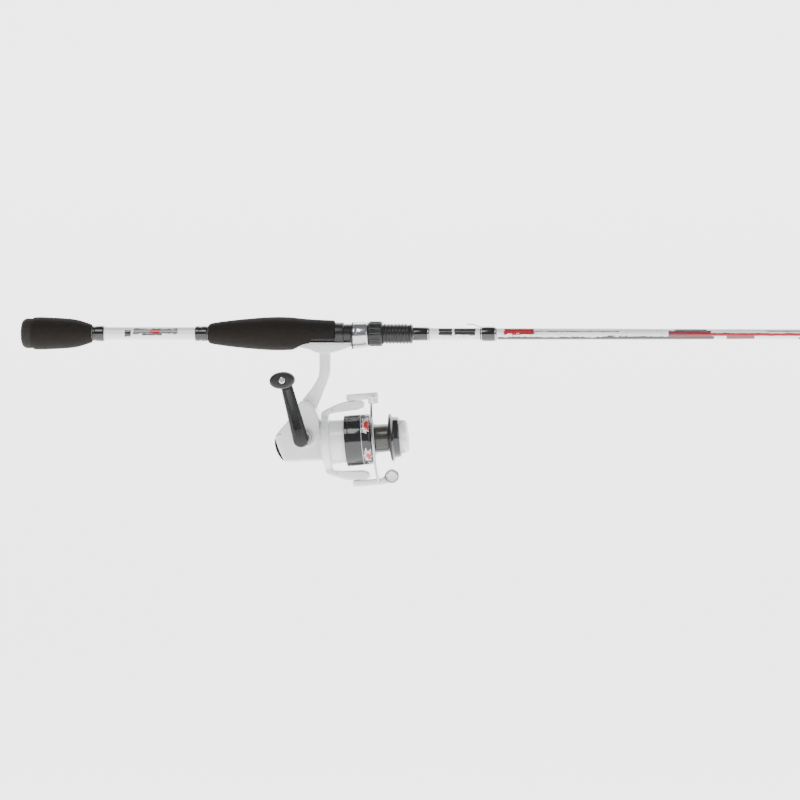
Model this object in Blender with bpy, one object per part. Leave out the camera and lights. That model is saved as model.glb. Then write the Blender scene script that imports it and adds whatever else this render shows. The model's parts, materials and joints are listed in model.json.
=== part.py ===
"""A two-piece spinning rod with its front-drag spinning reel.

Frame: the origin is the middle of the butt cap's flat end, +X runs along the rod to its tip, +Z is the
side away from the reel, and the reel hangs towards -Z with its handle on the -Y side.
Sizes below are in millimetres; every mesh is scaled to metres as it is made.
"""
import math

import bmesh
import bpy
from mathutils import Matrix, Vector

MM = 0.001
GAP = 0.3                    # clearance between neighbouring pieces
CUT = 0.5                    # how far a cutter runs past the face it opens

# ---- rod: driving sizes ----
ROD_LENGTH = 1676.0
BUTT_SECTION_END = 850.0
BLANK_RADIUS = 5.9
TAPER_START = 158.0
BLANK_TAPER = 0.00245        # radius lost per millimetre of the butt section
BLANK_WALL = 1.2
SOCKET_DEPTH = 75.0
SOCKET_RADIUS = 3.0
TIP_END_RADIUS = 0.9

CAP_LENGTH = 10.1
CAP_RADIUS = 13.6
REAR_GRIP_RADIUS = 14.75
REAR_GRIP_END = 64.3
REAR_COLLAR_END = 75.2
GRIP_COLLAR_START = 157.9
MAIN_GRIP_START = 169.5
MAIN_GRIP_END = 284.1
MAIN_GRIP_RADIUS = 15.1
SLEEVE_END = 369.5
KEEPER_WRAP_START = 415.1
KEEPER_WRAP_LENGTH = 14.8
WRAP_THICKNESS = 1.5
KEEPER_WIRE_RADIUS = 0.45

# ---- reel seat ----
SEAT_START = 236.0
SEAT_RADIUS = 8.8
SEAT_SHOULDER_RADIUS = 10.2
SEAT_SHOULDER_LENGTH = 7.8
BED_DEPTH = 8.3              # rod axis to the flat that the reel foot lies on
FIXED_HOOD_RADIUS = 13.6
FIXED_HOOD_LENGTH = 13.5
HOOD_WALL = 1.0
THREAD_START = 318.6
THREAD_END = 351.5
THREAD_PITCH = 3.1
THREAD_CREST = 9.2
THREAD_ROOT = 8.3
SEAT_END = 354.8
SLIDING_HOOD_START = 300.8
SLIDING_HOOD_END = 314.3
SLIDING_HOOD_FRONT_RADIUS = 12.05
SLIDING_HOOD_FRONT_DROP = 1.45
SLIDING_HOOD_BACK_RADIUS = 11.35
SLIDING_HOOD_BACK_DROP = 0.75
LINER_THICKNESS = 1.2
NUT_LENGTH = 12.4
NUT_RADIUS = 11.3
NUT_FLUTES = 16
FLUTE_DEPTH = 0.5

# ---- guides: (name, station, ring radius, drop of the ring, two feet?) ----
GUIDES = (
    ("stripper_guide", 805.0, 10.0, 22.0, True),
    ("middle_guide", 1130.0, 6.4, 14.0, False),
    ("upper_guide", 1430.0, 5.0, 10.0, False),
)
GUIDE_WIRE = 0.75
GUIDE_FOOT_LENGTH = 15.0
GUIDE_FOOT_WIDTH = 2.2
GUIDE_FOOT_HEIGHT = 0.8
RING_WALL = 1.3
TIP_RING_RADIUS = 3.6

# ---- reel: driving sizes ----
CRANK_X = 258.0
CRANK_DROP = 93.4            # rod axis to crank axis
AXIS_TILT = 4.5              # degrees that the spool axis rises towards the tip
AXIS_OFFSET = 6.0            # crank axis above the spool axis
FOOT_START = 240.2
FOOT_END = 309.0
FOOT_HALF_WIDTH = 6.2
STEM_HALF_WIDTH = 5.0
BODY_LEFT = -16.0
BODY_RIGHT = 12.0
BODY_WALL = 2.0
COVER_THICKNESS = 4.7
BOSS_RADIUS = 7.8
BOSS_HEIGHT = 3.0
FLANGE_RADIUS = 20.0
FLANGE_BACK = 14.0
FLANGE_FRONT = 18.7
BEARING_RADIUS = 6.0
BEARING_WIDTH = 3.0

# ---- gears ----
DRIVE_TEETH = 36
PINION_TEETH = 8
MESH_START = 12.3            # where the drive gear's teeth lie along the pinion
MESH_END = 14.7
PINION_TIP = 3.6
PINION_ROOT = 2.3
PINION_START = 11.0
PINION_TOOTH_END = 17.0
PINION_END = 40.0
TOOTH_WIDTH = 0.7
MAIN_SHAFT_RADIUS = 1.45
MAIN_SHAFT_START = -9.5
MAIN_SHAFT_END = 87.5
DRIVE_SHAFT_RADIUS = 3.0
SHANK_RADIUS = 2.0
DRIVE_DISC_BACK = 6.2
OSCILLATION_MODULE = 0.75
OSCILLATION_PINION_TEETH = 12
OSCILLATION_GEAR_TEETH = 22
OSCILLATION_DROP = 3.7       # oscillation gear's axis below the crank axis
STROKE = 12.0
STUD_RADIUS = 1.3

# ---- rotor, bail and spool, measured along the spool axis from the crank axis ----
ROTOR_BACK = 15.4
ROTOR_RIM_RADIUS = 24.5
CUP_RADIUS = 19.5
CUP_WALL = 1.7
CUP_END = 38.0
ARM_HALF_WIDTH = 7.0
ARM_TOP = 35.5
PIVOT_S = 47.1
BAIL_ARM_IN = 36.0
BAIL_ARM_OUT = 41.8
BAIL_TRAVEL_CLEARANCE = 11.4
WIRE_S = 63.5
WIRE_RADIUS = 1.15
WIRE_END = 38.0
WIRE_REACH = 46.0
PIVOT_SCREW_RADIUS = 1.7
ROLLER_S = 75.0
ROLLER_DROP = 34.4
ROLLER_CAP_RADIUS = 6.3
STUD_SHAFT_RADIUS = 1.5
SKIRT_BACK = 35.8
SKIRT_FRONT = 60.0
SKIRT_RADIUS = 23.25
SKIRT_WALL = 1.5
ARBOR_RADIUS = 12.65
SPOOL_FLANGE_S = 77.0
KNOB_RADIUS = 14.9           # drag knob, which sinks into the spool's lip
SPOOL_LIP_RADIUS = KNOB_RADIUS + 3.45
SPOOL_FLANGE_RADIUS = SPOOL_LIP_RADIUS + 3.15
SPOOL_LIP_END = 85.0
DRAG_POCKET_RADIUS = 10.8
DRAG_POCKET_S = 72.0
KNOB_FRONT = 92.5

# ---- handle ----
HANDLE_REACH = 55.3
HANDLE_ANGLE = 105.0         # degrees from +X towards +Z
KNOB_REST_TURN = -5.7        # degrees about +Y; below zero lifts the knob's front end
HANDLE_ARM_OUT = -56.0
HANDLE_ARM_IN = -50.0
GRIP_HALF_LENGTH = 11.5
GRIP_HALF_WIDTH = 7.65
GRIP_OUT = -84.0


# ---------------------------------------------------------------- tools

def clear_scene():
    """Empty the scene."""
    for obj in list(bpy.data.objects):
        bpy.data.objects.remove(obj, do_unlink=True)


FINISHES = {
    "foam": ((0.030, 0.025, 0.021), 0.9, 0.0),
    "rubber": ((0.045, 0.042, 0.040), 0.7, 0.0),
    "black_plastic": ((0.012, 0.012, 0.013), 0.25, 0.0),
    "white_blank": ((0.85, 0.85, 0.84), 0.15, 0.0),
    "grey_plastic": ((0.16, 0.16, 0.17), 0.45, 0.0),
    "polished_metal": ((0.72, 0.72, 0.74), 0.12, 1.0),
    "thread": ((0.015, 0.015, 0.016), 0.2, 0.0),
    "ceramic": ((0.03, 0.03, 0.035), 0.08, 0.0),
    "white_body": ((0.78, 0.79, 0.80), 0.18, 0.0),
    "spool_black": ((0.02, 0.02, 0.022), 0.15, 0.2),
    "brass": ((0.62, 0.46, 0.18), 0.3, 1.0),
    "zinc": ((0.42, 0.43, 0.45), 0.4, 1.0),
    "steel": ((0.55, 0.56, 0.58), 0.25, 1.0),
    "felt": ((0.32, 0.28, 0.20), 0.95, 0.0),
    "acetal": ((0.70, 0.69, 0.64), 0.5, 0.0),
}


def make_material(finish, name):
    """A material of its own for one sub-part, in one of the finishes above."""
    colour, roughness, metallic = FINISHES[finish]
    material = bpy.data.materials.new(name)
    material.use_nodes = True
    shader = material.node_tree.nodes["Principled BSDF"]
    shader.inputs["Base Color"].default_value = (*colour, 1.0)
    shader.inputs["Roughness"].default_value = roughness
    shader.inputs["Metallic"].default_value = metallic
    return material


def add_empty(name, spot, parent=None, tilt=0.0):
    """An axis that moving pieces hang on; tilt turns it about Y, in degrees."""
    empty = bpy.data.objects.new(name, None)
    bpy.context.collection.objects.link(empty)
    empty.parent = parent
    empty.location = Vector(spot) * MM
    empty.rotation_euler = (0.0, math.radians(tilt), 0.0)
    return empty


def add_object(name, bm, finish, parent=None, spot=(0.0, 0.0, 0.0)):
    """Turn a mesh made in millimetres into a smooth-shaded object in metres."""
    bmesh.ops.remove_doubles(bm, verts=bm.verts, dist=0.0005)
    bmesh.ops.recalc_face_normals(bm, faces=bm.faces)
    bm.transform(Matrix.Scale(MM, 4))
    mesh = bpy.data.meshes.new(name)
    bm.to_mesh(mesh)
    bm.free()
    mesh.shade_smooth()
    mesh.set_sharp_from_angle(angle=math.radians(35.0))
    obj = bpy.data.objects.new(name, mesh)
    bpy.context.collection.objects.link(obj)
    obj.parent = parent
    obj.location = Vector(spot) * MM
    if finish:
        mesh.materials.append(make_material(finish, name))
    return obj


def combine(obj, bm, operation, parent=None, spot=(0.0, 0.0, 0.0)):
    """Cut, join or clip an object by a hidden helper solid made from bm."""
    count = sum(1 for modifier in obj.modifiers if modifier.type == "BOOLEAN")
    helper = add_object(f"{obj.name}_helper_{count}", bm, None, parent, spot)
    helper.hide_render = True
    helper.display_type = "WIRE"
    modifier = obj.modifiers.new(operation.title(), "BOOLEAN")
    modifier.operation = operation
    modifier.solver = "EXACT"
    modifier.object = helper
    return helper


def turned(outline, steps=20, axis="X"):
    """Turn an outline of (along, radius) points about an axis into a closed solid."""
    bm = bmesh.new()
    verts = [bm.verts.new((along, 0.0, radius)) for along, radius in outline]
    edges = []
    for i, (_, radius) in enumerate(outline):
        following = (i + 1) % len(outline)
        if radius > 0.0 or outline[following][1] > 0.0:
            edges.append(bm.edges.new((verts[i], verts[following])))
    bmesh.ops.spin(bm, geom=verts + edges, cent=(0, 0, 0), axis=(1, 0, 0), dvec=(0, 0, 0),
                   angle=math.tau, steps=steps, use_merge=True)
    bmesh.ops.remove_doubles(bm, verts=bm.verts, dist=0.0005)
    if axis == "Y":
        bm.transform(Matrix.Rotation(math.radians(90.0), 4, "Z"))
    if axis == "Z":
        bm.transform(Matrix.Rotation(math.radians(-90.0), 4, "Y"))
    return bm


def ring(start, end, inner, outer, steps=18, axis="X", edge=0.0):
    """A plain collar, with its outer edges broken by edge."""
    outline = [(start, inner), (start, outer - edge), (start + edge, outer),
               (end - edge, outer), (end, outer - edge), (end, inner)]
    if edge == 0.0:
        outline = [(start, inner), (start, outer), (end, outer), (end, inner)]
    return turned(outline, steps, axis)


def rod(start, end, radius, steps=12, axis="X"):
    """A solid cylinder."""
    return turned([(start, 0.0), (start, radius), (end, radius), (end, 0.0)], steps, axis)


def block(low, high):
    """A box between two corners."""
    bm = bmesh.new()
    size = [b - a for a, b in zip(low, high)]
    middle = [(a + b) / 2 for a, b in zip(low, high)]
    matrix = Matrix.Translation(middle) @ Matrix.Diagonal((*size, 1.0))
    bmesh.ops.create_cube(bm, size=1.0, matrix=matrix)
    return bm


def prism(outline, low, high, axis="Y"):
    """Extrude a flat outline along an axis. Points are (x, z) for Y, (y, z) for X and (x, y) for Z."""
    places = {
        "X": lambda a, b, level: (level, a, b),
        "Y": lambda a, b, level: (a, level, b),
        "Z": lambda a, b, level: (a, b, level),
    }
    place = places[axis]
    bm = bmesh.new()
    face = bm.faces.new([bm.verts.new(place(a, b, low)) for a, b in outline])
    top = bmesh.ops.extrude_face_region(bm, geom=[face])
    shift = Vector(place(0.0, 0.0, high - low))
    bmesh.ops.translate(bm, verts=[v for v in top["geom"] if isinstance(v, bmesh.types.BMVert)], vec=shift)
    bmesh.ops.recalc_face_normals(bm, faces=bm.faces)
    return bm


def soften(bm, width, keep, segments=2):
    """Round the sharp edges whose two ends both pass the test keep."""
    bm.normal_update()
    edges = [e for e in bm.edges if all(keep(v.co) for v in e.verts) and e.calc_face_angle(0.0) > 0.6]
    bmesh.ops.bevel(bm, geom=edges, offset=width, segments=segments, profile=0.5, affect="EDGES",
                    clamp_overlap=True)
    return bm


def merge(*meshes):
    """Put several meshes that don't meet into one."""
    whole = bmesh.new()
    for bm in meshes:
        carrier = bpy.data.meshes.new("carrier")
        bm.to_mesh(carrier)
        bm.free()
        whole.from_mesh(carrier)
        bpy.data.meshes.remove(carrier)
    return whole


def arc(start, end, bulge, steps):
    """Points of an arc from start to end that stands out to the right of its chord by bulge."""
    start, end = Vector(start), Vector(end)
    chord = end - start
    half = chord.length / 2
    radius = (half * half + bulge * bulge) / (2 * bulge)
    right = Vector((chord.y, -chord.x)).normalized()
    centre = (start + end) / 2 - right * (radius - bulge)
    first = math.atan2(start.y - centre.y, start.x - centre.x)
    sweep = 2 * math.asin(half / radius)
    points = []
    for i in range(steps + 1):
        angle = first + sweep * i / steps
        points.append((centre.x + radius * math.cos(angle), centre.y + radius * math.sin(angle)))
    return points


def circle(centre, radius, steps, first=0.0, last=360.0):
    """Points on a circle or on a part of it, angles in degrees."""
    whole = abs(last - first) >= 360.0
    count = steps if whole else steps + 1
    points = []
    for i in range(count):
        angle = math.radians(first + (last - first) * i / steps)
        points.append((centre[0] + radius * math.cos(angle), centre[1] + radius * math.sin(angle)))
    return points


def inset(outline, distance):
    """The outline moved inwards by an even distance."""
    count = len(outline)
    points = [Vector(p) for p in outline]
    area = sum(points[i].cross(points[(i + 1) % count]) for i in range(count))
    side = 1.0 if area > 0 else -1.0
    moved = []
    for i in range(count):
        before = (points[i] - points[i - 1]).normalized()
        after = (points[(i + 1) % count] - points[i]).normalized()
        inward_before = Vector((-before.y, before.x)) * side
        inward_after = Vector((-after.y, after.x)) * side
        push = (inward_before + inward_after) / (1.0 + inward_before.dot(inward_after))
        moved.append(tuple(points[i] + push * distance))
    return moved


def gear_outline(teeth, root, tip, phase, root_share=0.62, tip_share=0.28):
    """A toothed outline with the middle of a tooth at the phase angle, in degrees."""
    pitch = math.tau / teeth
    points = []
    for i in range(teeth):
        middle = math.radians(phase) + i * pitch
        for radius, share in ((root, -root_share), (tip, -tip_share), (tip, tip_share), (root, root_share)):
            angle = middle + share * pitch / 2
            points.append((radius * math.cos(angle), radius * math.sin(angle)))
    return points


def wire_mesh(points, radius, sides_level=1):
    """A round wire through the points, with closed ends."""
    curve = bpy.data.curves.new("wire", "CURVE")
    curve.dimensions = "3D"
    curve.bevel_depth = radius
    curve.bevel_resolution = sides_level
    curve.use_fill_caps = True
    spline = curve.splines.new("POLY")
    spline.points.add(len(points) - 1)
    for point, place in zip(spline.points, points):
        point.co = (*place, 1.0)
    carrier = bpy.data.objects.new("wire", curve)
    bpy.context.collection.objects.link(carrier)
    bpy.context.view_layer.update()
    mesh = bpy.data.meshes.new_from_object(carrier.evaluated_get(bpy.context.evaluated_depsgraph_get()))
    bm = bmesh.new()
    bm.from_mesh(mesh)
    bpy.data.objects.remove(carrier, do_unlink=True)
    bpy.data.curves.remove(curve)
    bpy.data.meshes.remove(mesh)
    return bm


# ---------------------------------------------------------------- rod

def blank_radius(x):
    """Outer radius of the butt section: straight under the rear grip, then tapering."""
    return BLANK_RADIUS - BLANK_TAPER * max(0.0, x - TAPER_START)


def tip_radius(x):
    """Outer radius of the tip section, from its plug to the tip."""
    start = BUTT_SECTION_END
    plug = SOCKET_RADIUS - GAP
    share = max(0.0, x - start) / (ROD_LENGTH - start)
    return plug + (TIP_END_RADIUS - plug) * share


def bore_at(x):
    """Bore of a piece that sits on the blank at x."""
    return blank_radius(x) + GAP


BLANK_START = 4.3


def add_butt_cap():
    pocket = bore_at(0.0)
    rounding = circle((4.0, CAP_RADIUS - 4.0), 4.0, 4, 180.0, 90.0)
    outline = [(0.0, 0.0)] + rounding + [(CAP_LENGTH, CAP_RADIUS), (CAP_LENGTH, pocket),
                                         (BLANK_START - GAP, pocket), (BLANK_START - GAP, 0.0)]
    add_object("butt_cap", turned(outline), "rubber")


def add_rear_grip():
    start = CAP_LENGTH + GAP
    shape = [(start, CAP_RADIUS), (start + 2.0, REAR_GRIP_RADIUS - 0.3), (start + 6.0, REAR_GRIP_RADIUS),
             (24.0, 14.5), (33.3, 14.1), (45.9, 13.15), (51.5, 12.2), (56.3, 10.85), (62.0, 8.9),
             (REAR_GRIP_END, BLANK_RADIUS + 1.3)]
    outline = shape + [(REAR_GRIP_END, bore_at(0.0)), (start, bore_at(0.0))]
    add_object("rear_grip", turned(outline, 20), "foam")
    collar_start = REAR_GRIP_END + GAP
    collar = [(collar_start, BLANK_RADIUS + 0.8), (collar_start + 2.9, BLANK_RADIUS + 1.0),
              (REAR_COLLAR_END - 1.0, BLANK_RADIUS + 1.4), (REAR_COLLAR_END, BLANK_RADIUS + 1.0),
              (REAR_COLLAR_END, bore_at(0.0)), (collar_start, bore_at(0.0))]
    add_object("rear_grip_collar", turned(collar, 20), "black_plastic")


def add_butt_blank():
    end = BUTT_SECTION_END
    socket_start = end - SOCKET_DEPTH
    inner = BLANK_RADIUS - BLANK_WALL
    outline = [(BLANK_START, BLANK_RADIUS), (TAPER_START, BLANK_RADIUS), (end, blank_radius(end)),
               (end, SOCKET_RADIUS), (socket_start, SOCKET_RADIUS),
               (socket_start - 5.0, blank_radius(socket_start) - BLANK_WALL), (TAPER_START, inner),
               (BLANK_START, inner)]
    add_object("butt_blank", turned(outline, 20), "white_blank")


def foot_channel(x0, x1, extra):
    """The space that the reel foot takes below the rod, widened by extra."""
    half = FOOT_HALF_WIDTH + extra
    return block((x0, -half, -30.0), (x1, half, -BED_DEPTH + extra))


def add_main_grip():
    start, end = MAIN_GRIP_START, MAIN_GRIP_END
    seat_bore = SEAT_RADIUS + GAP
    shape = [(start, BLANK_RADIUS + 1.0), (start + 1.5, 8.7),
             (174.5, 9.75), (186.0, 11.4), (198.6, 12.85), (210.0, 13.9),
             (221.0, 14.75), (230.0, MAIN_GRIP_RADIUS), (240.0, MAIN_GRIP_RADIUS - 0.1), (246.4, 14.6),
             (258.3, 13.4), (271.0, 12.6), (end, 12.1)]
    outline = shape + [(end, seat_bore), (SEAT_START - GAP, seat_bore), (SEAT_START - GAP, bore_at(start)),
                       (start, bore_at(start))]
    grip = add_object("main_grip", turned(outline, 20), "foam")
    underside = [(245.6, -20.0), (246.4, -14.2), (250.8, -12.0), (255.3, -9.8), (261.3, -8.6), (263.0, -4.7),
                 (end + 5.0, -4.7), (end + 5.0, -20.0)]
    combine(grip, prism(underside, -25.0, 25.0), "DIFFERENCE")
    hood_end = SEAT_START + FIXED_HOOD_LENGTH
    pocket = circle((0.0, 0.0), FIXED_HOOD_RADIUS + GAP, 14, 197.0, 343.0)
    combine(grip, prism(pocket, SEAT_START - GAP, hood_end + 2.0, "X"), "DIFFERENCE")
    combine(grip, foot_channel(hood_end + 1.0, end + 5.0, GAP), "DIFFERENCE")
    collar_end = start - GAP
    collar = [(GRIP_COLLAR_START, BLANK_RADIUS + 0.6), (GRIP_COLLAR_START + 1.2, BLANK_RADIUS + 1.1),
              (162.5, BLANK_RADIUS + 0.9), (collar_end - 1.2, BLANK_RADIUS + 1.1),
              (collar_end, BLANK_RADIUS + 0.7), (collar_end, bore_at(0.0)),
              (GRIP_COLLAR_START, bore_at(0.0))]
    add_object("grip_collar", turned(collar, 20), "black_plastic")


def add_reel_seat():
    shoulder_end = MAIN_GRIP_END + GAP + SEAT_SHOULDER_LENGTH
    shape = [(SEAT_START, SEAT_RADIUS), (MAIN_GRIP_END + GAP, SEAT_RADIUS),
             (MAIN_GRIP_END + GAP, SEAT_SHOULDER_RADIUS), (shoulder_end, SEAT_SHOULDER_RADIUS),
             (shoulder_end, SEAT_RADIUS), (THREAD_START - 3.0, SEAT_RADIUS),
             (THREAD_START - 3.0, THREAD_ROOT)]
    turns = int((THREAD_END - THREAD_START) / THREAD_PITCH)
    for i in range(turns):
        x = THREAD_START + i * THREAD_PITCH
        shape += [(x, THREAD_ROOT), (x + THREAD_PITCH / 2, THREAD_CREST)]
    shape += [(THREAD_END, THREAD_CREST), (SEAT_END, BLANK_RADIUS + 0.3)]
    outline = shape + [(SEAT_END, bore_at(SEAT_START)), (SEAT_START, bore_at(SEAT_START))]
    seat = add_object("reel_seat", turned(outline, 20), "grey_plastic")
    hood_end = SEAT_START + FIXED_HOOD_LENGTH
    hood = circle((0.0, 0.0), FIXED_HOOD_RADIUS, 14, 200.0, 340.0)
    hood_back = SEAT_START + 0.4
    combine(seat, prism(hood, hood_back, hood_end, "X"), "UNION")
    combine(seat, rod(SEAT_START - CUT, SEAT_END + CUT, bore_at(SEAT_START), 20), "DIFFERENCE")
    half = FOOT_HALF_WIDTH + 1.0
    combine(seat, block((FOOT_START - 1.0, -half, -FIXED_HOOD_RADIUS + HOOD_WALL + 0.8),
                        (hood_end + CUT, half, -BED_DEPTH)), "DIFFERENCE")
    combine(seat, block((hood_end - CUT, -20.0, -20.0), (THREAD_START - 3.6, 20.0, -BED_DEPTH)), "DIFFERENCE")


def shifted(outline, drop):
    """An outline in Y and Z lowered by drop."""
    return [(y, z - drop) for y, z in outline]


def hood_loft(start, end, front, back, steps=24):
    """A tube between two circles of (radius, drop) at start and end, as a solid plug."""
    bm = bmesh.new()
    loops = []
    for x, (radius, drop) in ((start, front), (end, back)):
        loops.append([bm.verts.new((x, y, z)) for y, z in shifted(circle((0.0, 0.0), radius, steps), drop)])
    for i in range(steps):
        j = (i + 1) % steps
        bm.faces.new((loops[0][i], loops[0][j], loops[1][j], loops[1][i]))
    bm.faces.new(loops[0])
    bm.faces.new(loops[1])
    bmesh.ops.recalc_face_normals(bm, faces=bm.faces)
    return bm


def add_sliding_hood():
    start, end = SLIDING_HOOD_START, SLIDING_HOOD_END
    front = (SLIDING_HOOD_FRONT_RADIUS, SLIDING_HOOD_FRONT_DROP)
    back = (SLIDING_HOOD_BACK_RADIUS, SLIDING_HOOD_BACK_DROP)
    front_bore = (front[0] - HOOD_WALL, front[1])
    back_bore = (back[0] - HOOD_WALL, back[1])
    shell = soften(hood_loft(start, end, front, back), 0.6, lambda co: co.x > end - 0.1)
    hood = add_object("sliding_hood", shell, "polished_metal")
    combine(hood, hood_loft(start - CUT, end + CUT, front_bore, back_bore), "DIFFERENCE")
    liner_radius = front[0] + 0.15
    liner_end = start - 0.1
    liner = add_object("hood_liner", hood_loft(liner_end - LINER_THICKNESS, liner_end,
                                               (liner_radius, front[1] + 0.3), (liner_radius,
                                                                                front[1] + 0.3)),
                       "black_plastic")
    combine(liner, hood_loft(liner_end - 5.0, liner_end + CUT, front_bore, front_bore), "DIFFERENCE")


def add_lock_nut():
    start = SLIDING_HOOD_END + GAP
    steps = NUT_FLUTES * 3
    bm = turned([(start, THREAD_CREST + GAP), (start, NUT_RADIUS - 0.8), (start + 0.8, NUT_RADIUS),
                 (start + NUT_LENGTH - 0.8, NUT_RADIUS), (start + NUT_LENGTH, NUT_RADIUS - 0.8),
                 (start + NUT_LENGTH, THREAD_CREST + GAP)], steps)
    for vert in bm.verts:
        radius = math.hypot(vert.co.y, vert.co.z)
        if radius < THREAD_CREST + GAP + 0.5:
            continue
        angle = math.atan2(vert.co.z, vert.co.y)
        flute = max(0.0, math.cos(angle * NUT_FLUTES)) * FLUTE_DEPTH
        factor = (radius - flute) / radius
        vert.co.y *= factor
        vert.co.z *= factor
    add_object("lock_nut", bm, "black_plastic")


def add_small_rod_parts():
    sleeve_start = SEAT_END + GAP
    sleeve = [(sleeve_start, BLANK_RADIUS), (sleeve_start + 1.0, BLANK_RADIUS + 0.4),
              (SLEEVE_END - 1.5, BLANK_RADIUS + 0.2), (SLEEVE_END, BLANK_RADIUS),
              (SLEEVE_END, bore_at(sleeve_start)), (sleeve_start, bore_at(sleeve_start))]
    add_object("seat_sleeve", turned(sleeve, 20), "black_plastic")
    start = KEEPER_WRAP_START
    end = start + KEEPER_WRAP_LENGTH
    top = blank_radius(start)
    wrap = add_object("keeper_wrap", ring(start, end, bore_at(start), top + WRAP_THICKNESS, 18, "X", 0.4),
                      "thread")
    wire_z = top + GAP + KEEPER_WIRE_RADIUS
    slot = KEEPER_WIRE_RADIUS + GAP
    combine(wrap, block((start - CUT, -slot, top - 0.5), (start + 10.0, slot, wire_z + slot)), "DIFFERENCE")
    loop = [(start + 9.0, 0.0, wire_z), (start + 2.0, 0.0, wire_z), (start - 1.5, 0.0, wire_z + 0.4),
            (start - 5.0, 0.0, wire_z + 2.2), (start - 9.0, 0.0, wire_z + 2.6), (start - 12.0, 0.0,
                                                                                 wire_z + 2.5)]
    add_object("hook_keeper", wire_mesh(loop, KEEPER_WIRE_RADIUS), "polished_metal")
    joint_end = BUTT_SECTION_END - 0.5
    add_object("joint_wrap", ring(joint_end - 14.0, joint_end, bore_at(joint_end - 14.0),
                                  blank_radius(joint_end) + WRAP_THICKNESS, 14, "X", 0.4), "thread")


def add_tip_blank():
    start = BUTT_SECTION_END - SOCKET_DEPTH + 4.0
    end = ROD_LENGTH - 12.0
    outline = [(start, 0.0), (start, tip_radius(start) - 0.4), (start + 1.0, tip_radius(start)),
               (BUTT_SECTION_END, tip_radius(BUTT_SECTION_END)), (end, tip_radius(end)), (end, 0.0)]
    add_object("tip_blank", turned(outline, 16), "white_blank")


def radius_at(x):
    """Outer radius of whichever section is on the outside at x."""
    return blank_radius(x) if x < BUTT_SECTION_END else tip_radius(x)


def add_guide(name, station, ring_radius, drop, two_feet):
    """A line guide: wire frame with its feet, a ceramic ring, and a thread wrap over each foot."""
    surface = radius_at(station - 30.0) + GAP
    foot_middle = -(surface + GUIDE_FOOT_HEIGHT / 2)
    inner = ring_radius - 2 * GUIDE_WIRE
    hoop = ring(-GUIDE_WIRE, GUIDE_WIRE, inner, ring_radius, 14, "X", 0.4)
    bmesh.ops.translate(hoop, verts=hoop.verts, vec=(0.0, 0.0, -drop))
    frame = add_object(f"{name}_frame", hoop, "polished_metal", spot=(station, 0.0, 0.0))
    reach = drop * 0.55
    sides = (-1.0, 1.0) if two_feet else (-1.0,)
    for side in sides:
        foot_end = side * reach
        low, high = sorted((foot_end, foot_end + side * GUIDE_FOOT_LENGTH))
        half = GUIDE_FOOT_WIDTH / 2
        foot = block((low, -half, foot_middle - GUIDE_FOOT_HEIGHT / 2), (high, half, -surface))
        combine(frame, foot, "UNION", spot=(station, 0.0, 0.0))
        hoop_side = ring_radius - GUIDE_WIRE
        legs = [(foot_end + side * 1.3, 0.45, foot_middle),
                (foot_end * 0.97, 0.25 * hoop_side, foot_middle - 0.6),
                (foot_end * 0.5, 0.8 * hoop_side, -(drop * 0.62)), (side * 0.2, hoop_side, -drop + 0.37)]
        for hand in (-1.0, 1.0):
            leg = wire_mesh([(x, hand * y, z) for x, y, z in legs], GUIDE_WIRE * 0.85)
            combine(frame, leg, "UNION", spot=(station, 0.0, 0.0))
        wrap_low = low + (2.0 if side > 0 else 1.0)
        wrap_high = high - (1.0 if side > 0 else 2.0)
        wrap_name = f"{name}_wrap" if not two_feet else f"{name}_wrap_{'front' if side > 0 else 'rear'}"
        outer = surface + GUIDE_FOOT_HEIGHT + GAP + 0.5
        wrap = add_object(wrap_name, ring(wrap_low, wrap_high, surface, outer, 12, "X", 0.5), "thread",
                          spot=(station, 0.0, 0.0))
        slot = half + GAP
        combine(wrap, block((wrap_low - CUT, -slot, -(surface + GUIDE_FOOT_HEIGHT + GAP)),
                            (wrap_high + CUT, slot, -surface + 1.0)), "DIFFERENCE", spot=(station, 0.0, 0.0))
    insert = ring(-1.1, 1.1, inner - GAP - RING_WALL, inner - GAP, 14, "X", 0.4)
    add_object(f"{name}_ring", insert, "ceramic", spot=(station, 0.0, -drop))


def add_tip_top():
    """The tube glued over the tip, with the last ring."""
    start = ROD_LENGTH - 24.0
    tube_end = ROD_LENGTH - 10.5
    bore = tip_radius(start) + GAP
    tube = turned([(start, bore), (start, bore + 0.5), (tube_end, bore + 0.5), (tube_end, 0.0),
                   (ROD_LENGTH - 12.0 + GAP, 0.0), (ROD_LENGTH - 12.0 + GAP, bore)], 16)
    frame = add_object("tip_top_frame", tube, "polished_metal")
    inner = TIP_RING_RADIUS - 0.9
    hoop = ring(-0.7, 0.7, inner, TIP_RING_RADIUS, 14, "X", 0.3)
    bmesh.ops.rotate(hoop, verts=hoop.verts, cent=(0, 0, 0),
                     matrix=Matrix.Rotation(math.radians(20.0), 3, "Y"))
    ring_spot = (ROD_LENGTH - 2.6, 0.0, -3.0)
    combine(frame, hoop, "UNION", spot=ring_spot)
    for hand in (-1.0, 1.0):
        leg = wire_mesh([(tube_end - 5.0, hand * 1.55, -0.6), (tube_end + 2.0, hand * 2.2, -1.2),
                         (ring_spot[0], hand * (TIP_RING_RADIUS - 0.45), ring_spot[2])], 0.5)
        combine(frame, leg, "UNION")
    insert = ring(-0.8, 0.8, inner - GAP - 0.9, inner - GAP, 14, "X", 0.3)
    bmesh.ops.rotate(insert, verts=insert.verts, cent=(0, 0, 0),
                     matrix=Matrix.Rotation(math.radians(20.0), 3, "Y"))
    add_object("tip_top_ring", insert, "ceramic", spot=ring_spot)


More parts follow.
